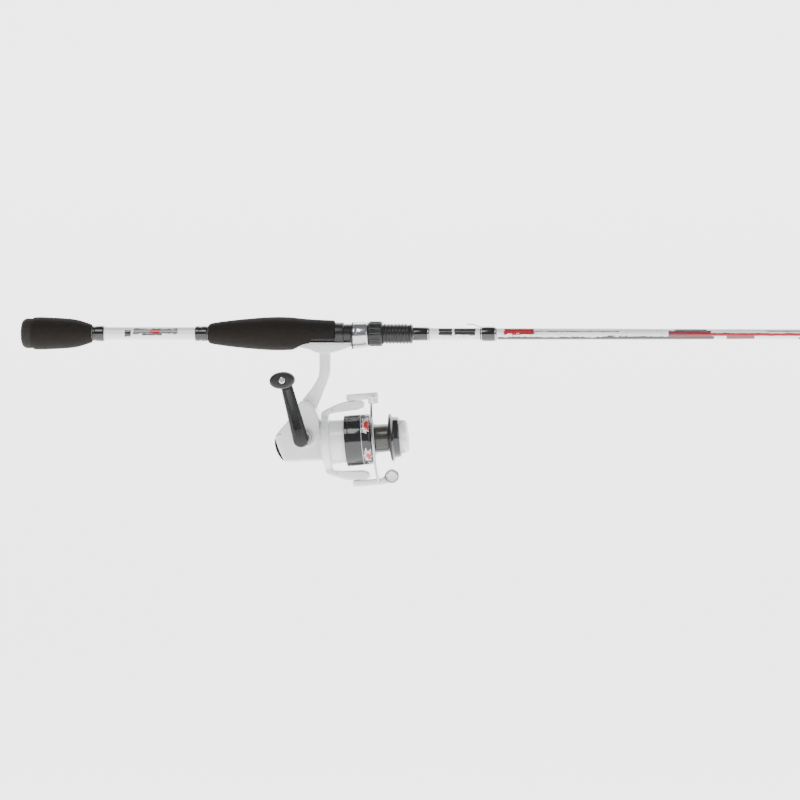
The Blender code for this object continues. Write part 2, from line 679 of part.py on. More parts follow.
def build_rod():
    add_butt_cap()
    add_rear_grip()
    add_butt_blank()
    add_main_grip()
    add_reel_seat()
    add_sliding_hood()
    add_lock_nut()
    add_small_rod_parts()
    add_tip_blank()
    for guide in GUIDES:
        add_guide(*guide)
    add_tip_top()


# ---------------------------------------------------------------- reel body

GUARD_TOP = (-27.0, 1.0)
GUARD_BOTTOM = (-18.0, -22.0)
GUARD_BULGE = 3.5
BODY_BULGE = 1.0
BODY_BOTTOM = -20.6
COVER_SCREWS = {"cover_screw_front": (9.6, -17.4), "cover_screw_top": (1.5, 24.3)}
LEVER_SPOT = (-13.0, -11.5)
SCREW_RADIUS = 1.1
SCREW_HEAD_RADIUS = 2.2


def body_outline(front):
    """Side outline of the body shell about the crank axis, up to front along the spool axis."""
    rear = arc(GUARD_TOP, GUARD_BOTTOM, BODY_BULGE, 5)
    tilt = math.radians(AXIS_TILT)
    edge = [((front - z * math.sin(tilt)) / math.cos(tilt), z) for z in (15.0, BODY_BOTTOM)]
    return ([edge[0], (9.7, 25.3), (4.0, 32.0), (-4.1, 33.3), (-16.7, 13.8), (-24.7, 4.6)]
            + rear + [edge[1]])


def stem_outline():
    top = CRANK_DROP - BED_DEPTH - GAP - 3.0
    return [(-3.0, 22.0), (-3.6, 33.6), (2.8, 41.4), (9.7, 50.6), (12.0, 58.6), (12.0, top), (22.4, top),
            (22.4, 58.6), (20.0, 51.7), (14.8, 38.5), (9.5, 25.6), (6.0, 20.0)]


def foot_side():
    """Side outline of the foot, in rod coordinates."""
    top = -BED_DEPTH - GAP
    return [(FOOT_START, top), (FOOT_START, -10.2), (251.0, -12.0), (262.0, -14.4), (268.0, -17.0),
            (282.0, -17.0), (290.0, -14.8), (296.0, -12.6), (299.0, -11.3), (FOOT_END, -10.3), (FOOT_END,
                                                                                                top)]


def foot_plan():
    """Plan outline of the foot, rounded at both ends, in rod coordinates."""
    half = FOOT_HALF_WIDTH
    toe = [(290.0, half), (299.0, 4.6), (306.0, 4.0), (FOOT_END + CUT, 2.5)]
    heel = [(FOOT_START - CUT, 3.0), (243.0, 5.0), (248.0, half - 0.2), (255.0, half)]
    upper = heel + toe
    return upper + [(x, -y) for x, y in reversed(upper)]


def add_body(crank_axis, spool_axis):
    outline = body_outline(FLANGE_BACK + 0.4)
    shell = prism(outline, BODY_LEFT, BODY_RIGHT)
    soften(shell, 3.0, lambda co: co.y < BODY_LEFT + 0.01, 3)
    body = add_object("reel_body", shell, "white_body", crank_axis)
    combine(body, rod(FLANGE_BACK, FLANGE_FRONT, FLANGE_RADIUS, 28), "UNION", spool_axis)
    stem = soften(prism(stem_outline(), -STEM_HALF_WIDTH, STEM_HALF_WIDTH), 1.6,
                  lambda co: abs(co.y) > STEM_HALF_WIDTH - 0.01)
    combine(body, stem, "UNION", crank_axis)
    foot = add_foot_solid()
    bmesh.ops.translate(foot, verts=foot.verts, vec=(-CRANK_X, 0.0, CRANK_DROP))
    combine(body, foot, "UNION", crank_axis)
    boss = turned([(BODY_LEFT - BOSS_HEIGHT, 0.0), (BODY_LEFT - BOSS_HEIGHT, BOSS_RADIUS - 0.8),
                   (BODY_LEFT - BOSS_HEIGHT + 0.8, BOSS_RADIUS), (BODY_LEFT + 1.0, BOSS_RADIUS),
                   (BODY_LEFT + 1.0, 0.0)], 20, "Y")
    combine(body, boss, "UNION", crank_axis)
    cavity = inset(outline, BODY_WALL)
    combine(body, prism(cavity, BODY_LEFT + BODY_WALL, BODY_RIGHT + 5.0), "DIFFERENCE", crank_axis)
    hollow = rod(FLANGE_BACK + 1.6, FLANGE_FRONT - 1.5, FLANGE_RADIUS - 1.4, 28)
    combine(body, hollow, "DIFFERENCE", spool_axis)
    window = block((5.0, -8.0, -12.5), (FLANGE_BACK + 2.5, 9.0, 19.0))
    combine(body, window, "DIFFERENCE", spool_axis)
    bearing_boss = rod(FLANGE_FRONT - 1.2, FLANGE_FRONT + BEARING_WIDTH + 0.8, BEARING_RADIUS + 3.0, 28)
    combine(body, bearing_boss, "UNION", spool_axis)
    seat = rod(FLANGE_FRONT, FLANGE_FRONT + BEARING_WIDTH + 2.0, BEARING_RADIUS + 1.0 + GAP, 20)
    combine(body, seat, "DIFFERENCE", spool_axis)
    combine(body, rod(FLANGE_BACK, FLANGE_FRONT + 3.0, PINION_TIP + GAP, 20), "DIFFERENCE", spool_axis)
    posts = [rod(BODY_LEFT + 1.0, BODY_LEFT + BODY_WALL + BEARING_WIDTH, BEARING_RADIUS + 2.0, 18, "Y")]
    for x, z in COVER_SCREWS.values():
        post = rod(BODY_LEFT + 1.0, BODY_RIGHT - 0.2, SCREW_RADIUS + 1.6, 12, "Y")
        bmesh.ops.translate(post, verts=post.verts, vec=(x, 0.0, z))
        posts.append(post)
    combine(body, merge(*posts), "UNION", crank_axis)
    pivot = rod(BODY_LEFT + 1.0, BODY_LEFT + 6.8, 4.0, 12, "Y")
    combine(body, pivot, "UNION", spool_axis, oscillation_spot())
    combine(body, rod(BODY_LEFT + 0.7, BODY_RIGHT, BEARING_RADIUS + GAP, 18, "Y"), "DIFFERENCE", crank_axis)
    combine(body, rod(BODY_LEFT - BOSS_HEIGHT - CUT, BODY_LEFT + 1.2, 4.6, 12, "Y"), "DIFFERENCE", crank_axis)
    screw_holes = []
    for x, z in COVER_SCREWS.values():
        hole = rod(BODY_RIGHT - 6.0, BODY_RIGHT + 1.0, SCREW_RADIUS + GAP, 12, "Y")
        bmesh.ops.translate(hole, verts=hole.verts, vec=(x, 0.0, z))
        screw_holes.append(hole)
    combine(body, merge(*screw_holes), "DIFFERENCE", crank_axis)
    combine(body, rod(BODY_LEFT + 3.0, BODY_LEFT + 8.0, 1.8 + GAP, 12, "Y"), "DIFFERENCE", spool_axis,
            oscillation_spot())


def add_foot_solid():
    """The foot: its side outline, cut to its rounded plan."""
    bm = prism(foot_side(), -FOOT_HALF_WIDTH - 0.5, FOOT_HALF_WIDTH + 0.5)
    side = add_object("foot_side", bm, None)
    clip = combine(side, prism(foot_plan(), -20.0, -5.0, "Z"), "INTERSECT")
    bpy.context.view_layer.update()
    mesh = bpy.data.meshes.new_from_object(side.evaluated_get(bpy.context.evaluated_depsgraph_get()))
    solid = bmesh.new()
    solid.from_mesh(mesh)
    solid.transform(Matrix.Scale(1.0 / MM, 4))
    bpy.data.meshes.remove(mesh)
    bpy.data.objects.remove(side, do_unlink=True)
    bpy.data.objects.remove(clip, do_unlink=True)
    return solid


def add_body_fittings(crank_axis, spool_axis):
    inside = BODY_RIGHT + GAP
    outside = inside + COVER_THICKNESS
    cover = soften(prism(body_outline(FLANGE_BACK - GAP), inside, outside), 2.4,
                   lambda co: co.y > outside - 0.01, 3)
    side_cover = add_object("side_cover", cover, "white_body", crank_axis)
    combine(side_cover, rod(inside - CUT, inside + BEARING_WIDTH + 0.3, BEARING_RADIUS + GAP, 18, "Y"),
            "DIFFERENCE", crank_axis)
    combine(side_cover, rod(inside, outside + CUT, DRIVE_SHAFT_RADIUS + 0.6, 12, "Y"), "DIFFERENCE",
            crank_axis)
    lever_hole = (LEVER_SPOT[0], 0.0, LEVER_SPOT[1])
    combine(side_cover, rod(inside - CUT, outside + CUT, 2.0 + GAP, 12, "Y"), "DIFFERENCE", crank_axis,
            lever_hole)
    head_depth = 1.3
    for name, (x, z) in COVER_SCREWS.items():
        seat = turned([(inside - CUT, 0.0), (inside - CUT, SCREW_RADIUS + GAP),
                       (outside - head_depth, SCREW_RADIUS + GAP), (outside - head_depth,
                                                                    SCREW_HEAD_RADIUS + GAP),
                       (outside + CUT, SCREW_HEAD_RADIUS + GAP), (outside + CUT, 0.0)], 12, "Y")
        combine(side_cover, seat, "DIFFERENCE", crank_axis, (x, 0.0, z))
        screw = turned([(BODY_RIGHT - 5.0, 0.0), (BODY_RIGHT - 5.0, SCREW_RADIUS),
                        (outside - head_depth + GAP, SCREW_RADIUS),
                        (outside - head_depth + GAP, SCREW_HEAD_RADIUS),
                        (outside - 0.1, SCREW_HEAD_RADIUS), (outside + 0.4, 1.4), (outside + 0.4, 0.0)],
                        12, "Y")
        add_object(name, screw, "steel", crank_axis, (x, 0.0, z))

    outer = arc(GUARD_TOP, GUARD_BOTTOM, GUARD_BULGE, 8)
    inner = arc(GUARD_TOP, GUARD_BOTTOM, BODY_BULGE, 8)
    normal = Vector((GUARD_BOTTOM[1] - GUARD_TOP[1], GUARD_TOP[0] - GUARD_BOTTOM[0])).normalized()
    seat_line = [(x + normal.x * GAP, z + normal.y * GAP) for x, z in inner[1:-1]]
    guard = prism(outer[1:-1] + list(reversed(seat_line)), BODY_LEFT + 4.0, BODY_RIGHT - 0.5)
    add_object("rear_guard", guard, "black_plastic", crank_axis)

    for name, start in (("drive_bearing_left", BODY_LEFT + 0.9), ("drive_bearing_right", inside + 0.1)):
        bearing = ring(start, start + BEARING_WIDTH - 0.2, DRIVE_SHAFT_RADIUS + GAP, BEARING_RADIUS, 12, "Y")
        add_object(name, bearing, "steel", crank_axis)
    pinion_bearing = ring(FLANGE_FRONT + 0.3, FLANGE_FRONT + 0.3 + BEARING_WIDTH, PINION_TIP + GAP,
                          BEARING_RADIUS + 1.0, 20)
    add_object("pinion_bearing", pinion_bearing, "steel", spool_axis)

    lever_axis = add_empty("anti_reverse_axis", lever_hole, crank_axis)
    lever = add_object("anti_reverse_lever", rod(BODY_RIGHT - 2.0, outside + 0.8, 2.0, 12, "Y"),
                       "black_plastic", lever_axis)
    paddle = circle((0.0, 0.0), 3.0, 8, -60.0, 120.0) + circle((-8.5, -3.0), 2.0, 6, 100.0, 320.0)
    combine(lever, prism(paddle, outside + 0.4, outside + 2.6), "UNION", lever_axis)


# ---------------------------------------------------------------- gears and shafts

def oscillation_spot():
    """Axis of the oscillation gear, from the spool axis, so that it meshes with its pinion."""
    distance = OSCILLATION_MODULE * (OSCILLATION_PINION_TEETH + OSCILLATION_GEAR_TEETH) / 2
    back = math.sqrt(distance ** 2 - OSCILLATION_DROP ** 2)
    return (-back, 0.0, AXIS_OFFSET - OSCILLATION_DROP)


def gear_radii(teeth):
    """Root and tip radius of an oscillation gear."""
    pitch_radius = OSCILLATION_MODULE * teeth / 2
    return pitch_radius - 1.2 * OSCILLATION_MODULE, pitch_radius + 0.93 * OSCILLATION_MODULE


def add_gears(drive_axis, spool_axis, oscillation_axis):
    pinion_face = PINION_TIP + GAP
    shaft_start = BODY_LEFT + 1.0
    shaft_end = BODY_RIGHT + GAP + BEARING_WIDTH
    bore = SHANK_RADIUS + GAP
    steps = 24
    disc_radius = math.hypot(MESH_END, AXIS_OFFSET + TOOTH_WIDTH) / math.cos(math.pi / steps)
    outline = [(shaft_start, bore), (shaft_start, DRIVE_SHAFT_RADIUS), (pinion_face, DRIVE_SHAFT_RADIUS),
               (pinion_face, disc_radius), (DRIVE_DISC_BACK, disc_radius), (DRIVE_DISC_BACK, 5.5),
               (8.5, 4.5), (8.5, DRIVE_SHAFT_RADIUS), (shaft_end, DRIVE_SHAFT_RADIUS), (shaft_end, bore)]
    gear = add_object("drive_gear", turned(outline, steps, "Y"), "zinc", drive_axis)
    teeth = []
    for i in range(DRIVE_TEETH):
        tooth = block((MESH_START, PINION_ROOT + 0.5, -AXIS_OFFSET - TOOTH_WIDTH / 2),
                      (MESH_END - 0.1, pinion_face + 0.4, -AXIS_OFFSET + TOOTH_WIDTH / 2))
        bmesh.ops.rotate(tooth, verts=tooth.verts, cent=(0, 0, 0),
                         matrix=Matrix.Rotation(math.tau * i / DRIVE_TEETH, 3, "Y"))
        teeth.append(tooth)
    combine(gear, merge(*teeth), "UNION", drive_axis)
    root, tip = gear_radii(OSCILLATION_PINION_TEETH)
    spot = oscillation_spot()
    towards = math.degrees(math.atan2(spot[2] - AXIS_OFFSET, spot[0]))
    half_pitch = 180.0 / OSCILLATION_PINION_TEETH
    small = prism(gear_outline(OSCILLATION_PINION_TEETH, root, tip, towards + half_pitch), -8.5, -6.0)
    combine(gear, small, "UNION", drive_axis)
    combine(gear, rod(-9.0, -5.0, bore, 36, "Y"), "DIFFERENCE", drive_axis)

    root, tip = gear_radii(OSCILLATION_GEAR_TEETH)
    big = prism(gear_outline(OSCILLATION_GEAR_TEETH, root, tip, towards + 180.0), -8.4, -6.1)
    wheel = add_object("oscillation_gear", big, "acetal", oscillation_axis)
    combine(wheel, rod(BODY_LEFT + 3.5, -8.0, 1.8, 12, "Y"), "UNION", oscillation_axis)
    combine(wheel, rod(-6.5, -4.0, STUD_RADIUS, 12, "Y"), "UNION", oscillation_axis, (STROKE / 2, 0.0, 0.0))

    half_tooth = 180.0 / PINION_TEETH
    section = gear_outline(PINION_TEETH, PINION_ROOT, PINION_TIP, 90.0 + half_tooth, 0.56, 0.36)
    teeth_part = prism([(a, b) for b, a in section], PINION_START, PINION_TOOTH_END, "X")
    pinion = add_object("pinion_gear", teeth_part, "brass", spool_axis)
    combine(pinion, rod(PINION_TOOTH_END - 0.5, PINION_END, PINION_TIP - 0.1, 20), "UNION", spool_axis)
    combine(pinion, rod(PINION_START - CUT, PINION_END + CUT, MAIN_SHAFT_RADIUS + GAP, 16), "DIFFERENCE",
            spool_axis)

    add_object("main_shaft", rod(MAIN_SHAFT_START, MAIN_SHAFT_END, MAIN_SHAFT_RADIUS, 14), "steel",
               spool_axis)
    middle = oscillation_spot()[0] + STROKE / 2
    slot_middle = oscillation_spot()[2]
    reach = STROKE / 2 + STUD_RADIUS + 0.4
    end_wall = 1.2
    plate = block((middle - 2.5, -3.7, slot_middle - reach - end_wall),
                  (middle + 2.5, -2.2, slot_middle + reach + end_wall))
    slider = add_object("oscillation_slider", plate, "zinc", spool_axis)
    combine(slider, block((middle - 2.4, -2.6, -3.2), (middle + 2.4, 2.6, 3.2)), "UNION", spool_axis)
    slot = STUD_RADIUS + GAP
    combine(slider,
            block((middle - slot, -5.0, slot_middle - reach), (middle + slot, -3.0, slot_middle + reach)),
            "DIFFERENCE", spool_axis)
    combine(slider, rod(middle - 4.0, middle + 4.0, MAIN_SHAFT_RADIUS + GAP, 16), "DIFFERENCE", spool_axis)


# ---------------------------------------------------------------- rotor and bail

def arm_outline(hand):
    """One rotor arm seen from the side, as (along, radial) points."""
    back = ROTOR_BACK
    points = [(back, 17.0), (back, 27.0), (back + 1.6, 28.5), (24.0, 31.0), (38.0, ARM_TOP), (53.0, ARM_TOP),
              (55.0, 33.5), (55.0, 29.5), (50.0, 27.5), (30.0, 26.4), (23.0, 25.4), (21.9, 23.5), (21.9,
                                                                                                   17.0)]
    return [(s, hand * r) for s, r in points]


def add_rotor(spool_axis):
    wall_front = CUP_END - 1.8
    hollow = CUP_RADIUS - CUP_WALL
    outline = [(ROTOR_BACK, FLANGE_RADIUS + 0.6), (ROTOR_BACK, ROTOR_RIM_RADIUS - 0.8),
               (ROTOR_BACK + 1.0, ROTOR_RIM_RADIUS), (21.2, ROTOR_RIM_RADIUS - 0.5), (22.0,
                                                                                      ROTOR_RIM_RADIUS - 1.5),
               (22.2, CUP_RADIUS), (CUP_END, CUP_RADIUS - 0.2), (CUP_END, hollow), (wall_front, hollow),
               (wall_front, PINION_TIP + GAP), (wall_front - 2.6, PINION_TIP + GAP), (wall_front - 2.6,
                                                                                      hollow),
               (20.8, hollow), (19.3, FLANGE_RADIUS + 0.6)]
    rotor = add_object("rotor", turned(outline, 28), "white_body", spool_axis)
    for hand in (-1.0, 1.0):
        arm = prism(arm_outline(hand), -ARM_HALF_WIDTH, ARM_HALF_WIDTH)
        soften(arm, 1.8, lambda co: abs(co.y) > ARM_HALF_WIDTH - 0.01 and abs(co.z) > 26.9)
        combine(rotor, arm, "UNION", spool_axis)
    inside = turned([(ROTOR_BACK - CUT, 0.0), (ROTOR_BACK - CUT, FLANGE_RADIUS + 0.6),
                     (19.3, FLANGE_RADIUS + 0.6),
                     (20.8, hollow), (24.0, hollow), (24.0, 0.0)], 28)
    combine(rotor, inside, "DIFFERENCE", spool_axis)
    shank_hole = PIVOT_SCREW_RADIUS + GAP
    holes = [rod(25.0, 40.0, shank_hole, 12, "Z"), rod(-40.0, -25.0, shank_hole, 12, "Z")]
    combine(rotor, merge(*holes), "DIFFERENCE", spool_axis, (PIVOT_S, 0.0, 0.0))
    combine(rotor, rod(31.6, 40.0, 4.5, 14, "Z"), "DIFFERENCE", spool_axis, (PIVOT_S, 0.0, 0.0))

    nut = turned([(wall_front + GAP, PINION_TIP + GAP), (wall_front + GAP, 6.8), (PINION_END - 0.3, 6.8),
                  (PINION_END - 0.3, PINION_TIP + GAP)], 6)
    rotor_nut = add_object("rotor_nut", nut, "steel", spool_axis)
    combine(rotor_nut, rod(wall_front, PINION_END + CUT, PINION_TIP + GAP, 20), "DIFFERENCE", spool_axis)

    turns, per_turn = 3, 8
    spring = []
    for i in range(turns * per_turn + 1):
        angle = math.tau * i / per_turn
        height = 32.3 + 0.95 * i / per_turn
        spring.append((3.2 * math.cos(angle), 3.2 * math.sin(angle), height))
    add_object("bail_spring", wire_mesh(spring, 0.32), "steel", spool_axis, (PIVOT_S, 0.0, 0.0))

    head_seat = BAIL_ARM_OUT - 2.3
    for name, hand in (("bail_screw_upper", 1.0), ("bail_screw_lower", -1.0)):
        profile = [(28.0, 0.0), (28.0, PIVOT_SCREW_RADIUS), (head_seat + GAP, PIVOT_SCREW_RADIUS),
                   (head_seat + GAP, 3.0), (BAIL_ARM_OUT - 0.3, 3.0), (BAIL_ARM_OUT + 0.2, 2.2),
                   (BAIL_ARM_OUT + 0.2, 0.0)]
        screw = turned([(hand * along, radius) for along, radius in profile], 14, "Z")
        add_object(name, screw, "steel", spool_axis, (PIVOT_S, 0.0, 0.0))


def bail_arm_plan(front_half_width):
    """A bail arm seen along its pivot axis, about the pivot."""
    reach = WIRE_S - PIVOT_S + 4.5
    back = circle((0.0, 0.0), 8.4, 10, 70.0, 290.0)
    return back + [(9.0, -5.5), (reach - 1.5, -front_half_width), (reach, 0.5 - front_half_width),
                   (reach, front_half_width - 0.5), (reach - 1.5, front_half_width), (9.0, 5.5)]


def add_bail(bail_pivot, roller_axis):
    wire_x = WIRE_S - PIVOT_S
    head_seat = BAIL_ARM_OUT - 2.3
    for name, hand in (("bail_arm_upper", 1.0), ("bail_arm_lower", -1.0)):
        low, high = sorted((hand * BAIL_ARM_IN, hand * BAIL_ARM_OUT))
        outer = hand * BAIL_ARM_OUT
        plate = soften(prism(bail_arm_plan(4.0), low, high, "Z"), 1.6, lambda co: abs(co.z - outer) < 0.01)
        arm = add_object(name, plate, "white_body", bail_pivot)
        if hand > 0:
            nose = soften(block((BAIL_TRAVEL_CLEARANCE, -3.2, 31.6),
                                (wire_x + 4.0, 3.2, BAIL_ARM_IN + 2.0)), 1.0,
                          lambda co: co.z < 32.0)
            combine(arm, nose, "UNION", bail_pivot)
        else:
            add_roller_bracket(arm, bail_pivot)
        shank_hole = sorted((hand * 30.0, hand * 45.0))
        combine(arm, rod(shank_hole[0], shank_hole[1], PIVOT_SCREW_RADIUS + GAP, 12, "Z"), "DIFFERENCE",
                bail_pivot)
        counterbore = sorted((hand * head_seat, hand * 45.0))
        combine(arm, rod(counterbore[0], counterbore[1], 3.0 + GAP, 12, "Z"), "DIFFERENCE", bail_pivot)
        combine(arm, rod(-8.0, 0.8, WIRE_RADIUS + GAP, 12, "Y"), "DIFFERENCE", bail_pivot,
                (wire_x, 0.0, hand * WIRE_END))

    points = []
    steps = 36
    power = 2.0 / 2.5
    for i in range(steps + 1):
        angle = math.pi * i / steps
        across = WIRE_END * math.copysign(abs(math.cos(angle)) ** power, math.cos(angle))
        out = -WIRE_REACH * abs(math.sin(angle)) ** power
        points.append((wire_x, out, across))
    add_object("bail_wire", wire_mesh(points, WIRE_RADIUS, 2), "polished_metal", bail_pivot)

    bore = STUD_SHAFT_RADIUS + GAP
    roller = turned([(-3.3, bore), (-3.3, 4.7), (-2.3, 4.9), (-0.7, 3.6), (0.9, 4.9), (1.9, 4.7),
                     (1.9, bore)],
                    20, "Y")
    add_object("line_roller", roller, "polished_metal", roller_axis)
    cap = turned([(-3.7, bore), (-3.7, ROLLER_CAP_RADIUS - 0.6), (-4.4, ROLLER_CAP_RADIUS),
                  (-7.2, ROLLER_CAP_RADIUS - 0.5), (-8.2, ROLLER_CAP_RADIUS - 2.2), (-8.2, 0.0), (-6.4, 0.0),
                  (-6.4, bore)], 18, "Y")
    add_object("roller_cap", cap, "white_body", bail_pivot, roller_spot())


def roller_spot():
    """The line roller's axis, from the bail pivot."""
    return (ROLLER_S - PIVOT_S, 0.0, -ROLLER_DROP)


def add_roller_bracket(arm, bail_pivot):
    x, _, z = roller_spot()
    head = circle((x, z), 5.6, 8, -40.0, 120.0)
    bracket = head + [(x - 9.0, -BAIL_ARM_IN + 0.4), (x - 15.5, -BAIL_ARM_IN - 0.4),
                      (x - 15.5, -BAIL_ARM_OUT + 1.0), (x - 5.0, -BAIL_ARM_OUT + 0.6)]
    combine(arm, prism(bracket, 2.2, 4.8), "UNION", bail_pivot)
    combine(arm, rod(-6.0, 3.0, STUD_SHAFT_RADIUS, 12, "Y"), "UNION", bail_pivot, roller_spot())


# ---------------------------------------------------------------- spool and drag

def add_spool(spool_axis):
    bore = MAIN_SHAFT_RADIUS + GAP
    hub = 5.0
    skirt_in = SKIRT_RADIUS - SKIRT_WALL
    web = SKIRT_FRONT - 2.0
    flange = SPOOL_FLANGE_S
    outline = [(SKIRT_BACK, skirt_in), (SKIRT_BACK, SKIRT_RADIUS - 0.3), (SKIRT_BACK + 0.6, SKIRT_RADIUS),
               (57.0, SKIRT_RADIUS - 0.25), (SKIRT_FRONT - 0.8, SKIRT_RADIUS - 0.6), (SKIRT_FRONT, 21.6),
               (62.7, ARBOR_RADIUS + 0.2), (flange - 2.6, ARBOR_RADIUS),
               (flange - 1.4, SPOOL_FLANGE_RADIUS - 0.9),
               (flange - 0.4, SPOOL_FLANGE_RADIUS), (flange + 0.9, SPOOL_FLANGE_RADIUS),
               (flange + 2.6, SPOOL_LIP_RADIUS + 0.3), (SPOOL_LIP_END - 1.0, SPOOL_LIP_RADIUS - 0.2),
               (SPOOL_LIP_END, SPOOL_LIP_RADIUS - 1.2), (SPOOL_LIP_END, KNOB_RADIUS + 0.6),
               (83.0, KNOB_RADIUS + 0.6),
               (83.0, DRAG_POCKET_RADIUS), (DRAG_POCKET_S, DRAG_POCKET_RADIUS), (DRAG_POCKET_S, bore),
               (54.0, bore), (54.0, hub), (web, hub), (web, skirt_in - 0.6)]
    add_object("spool", turned(outline, 32), "spool_black", spool_axis)
    click_start = web - 2.7
    click = prism(gear_outline(16, 8.2, 9.0, 0.0), click_start, web - GAP, "X")
    clicker = add_object("click_ring", click, "steel", spool_axis)
    combine(clicker, rod(click_start - 1.0, web + 1.0, hub + GAP, 20), "DIFFERENCE", spool_axis)

    start = DRAG_POCKET_S + GAP
    washers = (("drag_washer_felt", 1.7, "felt"), ("drag_washer_steel", 1.1, "steel"))
    for name, thickness, finish in washers:
        add_object(name, ring(start, start + thickness, bore, DRAG_POCKET_RADIUS - GAP, 20), finish,
                   spool_axis)
        start += thickness + GAP
    rounding = [(KNOB_FRONT - 3.2, KNOB_RADIUS), (KNOB_FRONT - 1.5, KNOB_RADIUS - 0.9),
                (KNOB_FRONT - 0.5, KNOB_RADIUS - 2.6), (KNOB_FRONT, KNOB_RADIUS - 5.0)]
    outline = [(start, bore), (start, DRAG_POCKET_RADIUS - 1.0), (83.4, DRAG_POCKET_RADIUS - 1.0),
               (83.4, KNOB_RADIUS - 0.4), (84.2, KNOB_RADIUS)] + rounding
    outline += [(KNOB_FRONT, 0.0), (MAIN_SHAFT_END + GAP, 0.0), (MAIN_SHAFT_END + GAP, bore)]
    add_object("drag_knob", turned(outline, 28), "white_body", spool_axis)


# ---------------------------------------------------------------- handle

def add_handle(crank_axis, knob_axis):
    angle = math.radians(HANDLE_ANGLE)
    knob_x, knob_z = HANDLE_REACH * math.cos(angle), HANDLE_REACH * math.sin(angle)
    hub = circle((0.0, 0.0), 7.0, 10, HANDLE_ANGLE + 95.0, HANDLE_ANGLE + 265.0)
    tip = circle((knob_x, knob_z), 4.9, 8, HANDLE_ANGLE - 85.0, HANDLE_ANGLE + 85.0)
    arm = soften(prism(hub + tip, HANDLE_ARM_OUT, HANDLE_ARM_IN), 1.6,
                 lambda co: abs(co.y - HANDLE_ARM_OUT) < 0.01 or abs(co.y - HANDLE_ARM_IN) < 0.01)
    handle = add_object("handle_arm", arm, "black_plastic", crank_axis)
    boss_face = BODY_LEFT - BOSS_HEIGHT
    shank_end = BODY_RIGHT + COVER_THICKNESS + 3.5
    shank = turned([(HANDLE_ARM_IN - 1.0, 0.0), (HANDLE_ARM_IN - 1.0, 5.6), (HANDLE_ARM_IN + 3.0, 5.2),
                    (boss_face - 0.6, 4.2), (boss_face - 0.6, SHANK_RADIUS), (shank_end, SHANK_RADIUS),
                    (shank_end, 0.0)], 12, "Y")
    combine(handle, shank, "UNION", crank_axis)
    post_end = GRIP_OUT + 4.2
    post = rod(post_end, HANDLE_ARM_OUT + 1.0, 2.0, 12, "Y")
    combine(handle, post, "UNION", crank_axis, (knob_x, 0.0, knob_z))

    grip = bmesh.new()
    loops = []
    inner_face = HANDLE_ARM_OUT - 0.6
    sections = ((inner_face, 0.42), (inner_face - 3.0, 0.50), (inner_face - 9.0, 0.72),
                (inner_face - 16.0, 0.95),
                (inner_face - 21.0, 1.0), (GRIP_OUT + 2.0, 0.96), (GRIP_OUT + 0.5, 0.86), (GRIP_OUT, 0.74))
    for y, share in sections:
        lengthwise = GRIP_HALF_LENGTH * share
        crosswise = GRIP_HALF_WIDTH * (0.35 + 0.65 * share)
        loops.append([grip.verts.new((lengthwise * math.cos(math.tau * i / 20), y,
                                      crosswise * math.sin(math.tau * i / 20))) for i in range(20)])
    for near, far in zip(loops, loops[1:]):
        for i in range(20):
            j = (i + 1) % 20
            grip.faces.new((near[i], near[j], far[j], far[i]))
    grip.faces.new(loops[0])
    grip.faces.new(loops[-1])
    knob_turn = Matrix.Rotation(math.radians(KNOB_REST_TURN), 3, "Y")
    bmesh.ops.rotate(grip, verts=grip.verts, cent=(0, 0, 0), matrix=knob_turn)
    knob = add_object("handle_knob", grip, "black_plastic", knob_axis)
    bore = turned([(GRIP_OUT - CUT, 0.0), (GRIP_OUT - CUT, 3.6), (post_end - 1.2, 3.6),
                   (post_end - 1.2, 2.0 + GAP),
                   (HANDLE_ARM_OUT + CUT, 2.0 + GAP), (HANDLE_ARM_OUT + CUT, 0.0)], 12, "Y")
    combine(knob, bore, "DIFFERENCE", knob_axis)
    screw = turned([(GRIP_OUT + 0.5, 0.0), (GRIP_OUT + 0.5, 2.4), (GRIP_OUT + 1.0, 3.2),
                    (post_end - 1.5, 3.2),
                    (post_end - 1.5, 1.7), (post_end - GAP, 1.7), (post_end - GAP, 0.0)], 12, "Y")
    add_object("knob_screw", screw, "steel", knob_axis)

    cap_start = BODY_RIGHT + GAP + COVER_THICKNESS + 0.4
    cap = turned([(cap_start, SHANK_RADIUS + GAP), (cap_start, 6.6), (cap_start + 1.0, 7.2),
                  (cap_start + 5.4, 6.6),
                  (cap_start + 6.4, 5.4), (cap_start + 6.4, 0.0), (shank_end + GAP, 0.0),
                  (shank_end + GAP, SHANK_RADIUS + GAP)], 18, "Y")
    add_object("handle_cap", cap, "white_body", crank_axis)


def build_reel():
    tilt = math.radians(AXIS_TILT)
    crank_axis = add_empty("crank_axis", (CRANK_X, 0.0, -CRANK_DROP))
    spool_spot = (AXIS_OFFSET * math.sin(tilt), 0.0, -AXIS_OFFSET * math.cos(tilt))
    spool_axis = add_empty("spool_axis", spool_spot, crank_axis, -AXIS_TILT)
    drive_axis = add_empty("drive_axis", (0.0, 0.0, AXIS_OFFSET), spool_axis)
    oscillation_axis = add_empty("oscillation_axis", oscillation_spot(), spool_axis)
    bail_pivot = add_empty("bail_pivot", (PIVOT_S, 0.0, 0.0), spool_axis)
    roller_axis = add_empty("roller_axis", roller_spot(), bail_pivot)
    angle = math.radians(HANDLE_ANGLE)
    knob_spot = (HANDLE_REACH * math.cos(angle), 0.0, HANDLE_REACH * math.sin(angle))
    knob_axis = add_empty("knob_axis", knob_spot, crank_axis)
    bpy.context.view_layer.update()
    add_body(crank_axis, spool_axis)
    add_body_fittings(crank_axis, spool_axis)
    add_gears(drive_axis, spool_axis, oscillation_axis)
    add_rotor(spool_axis)
    add_bail(bail_pivot, roller_axis)
    add_spool(spool_axis)
    add_handle(crank_axis, knob_axis)


clear_scene()
build_rod()
build_reel()
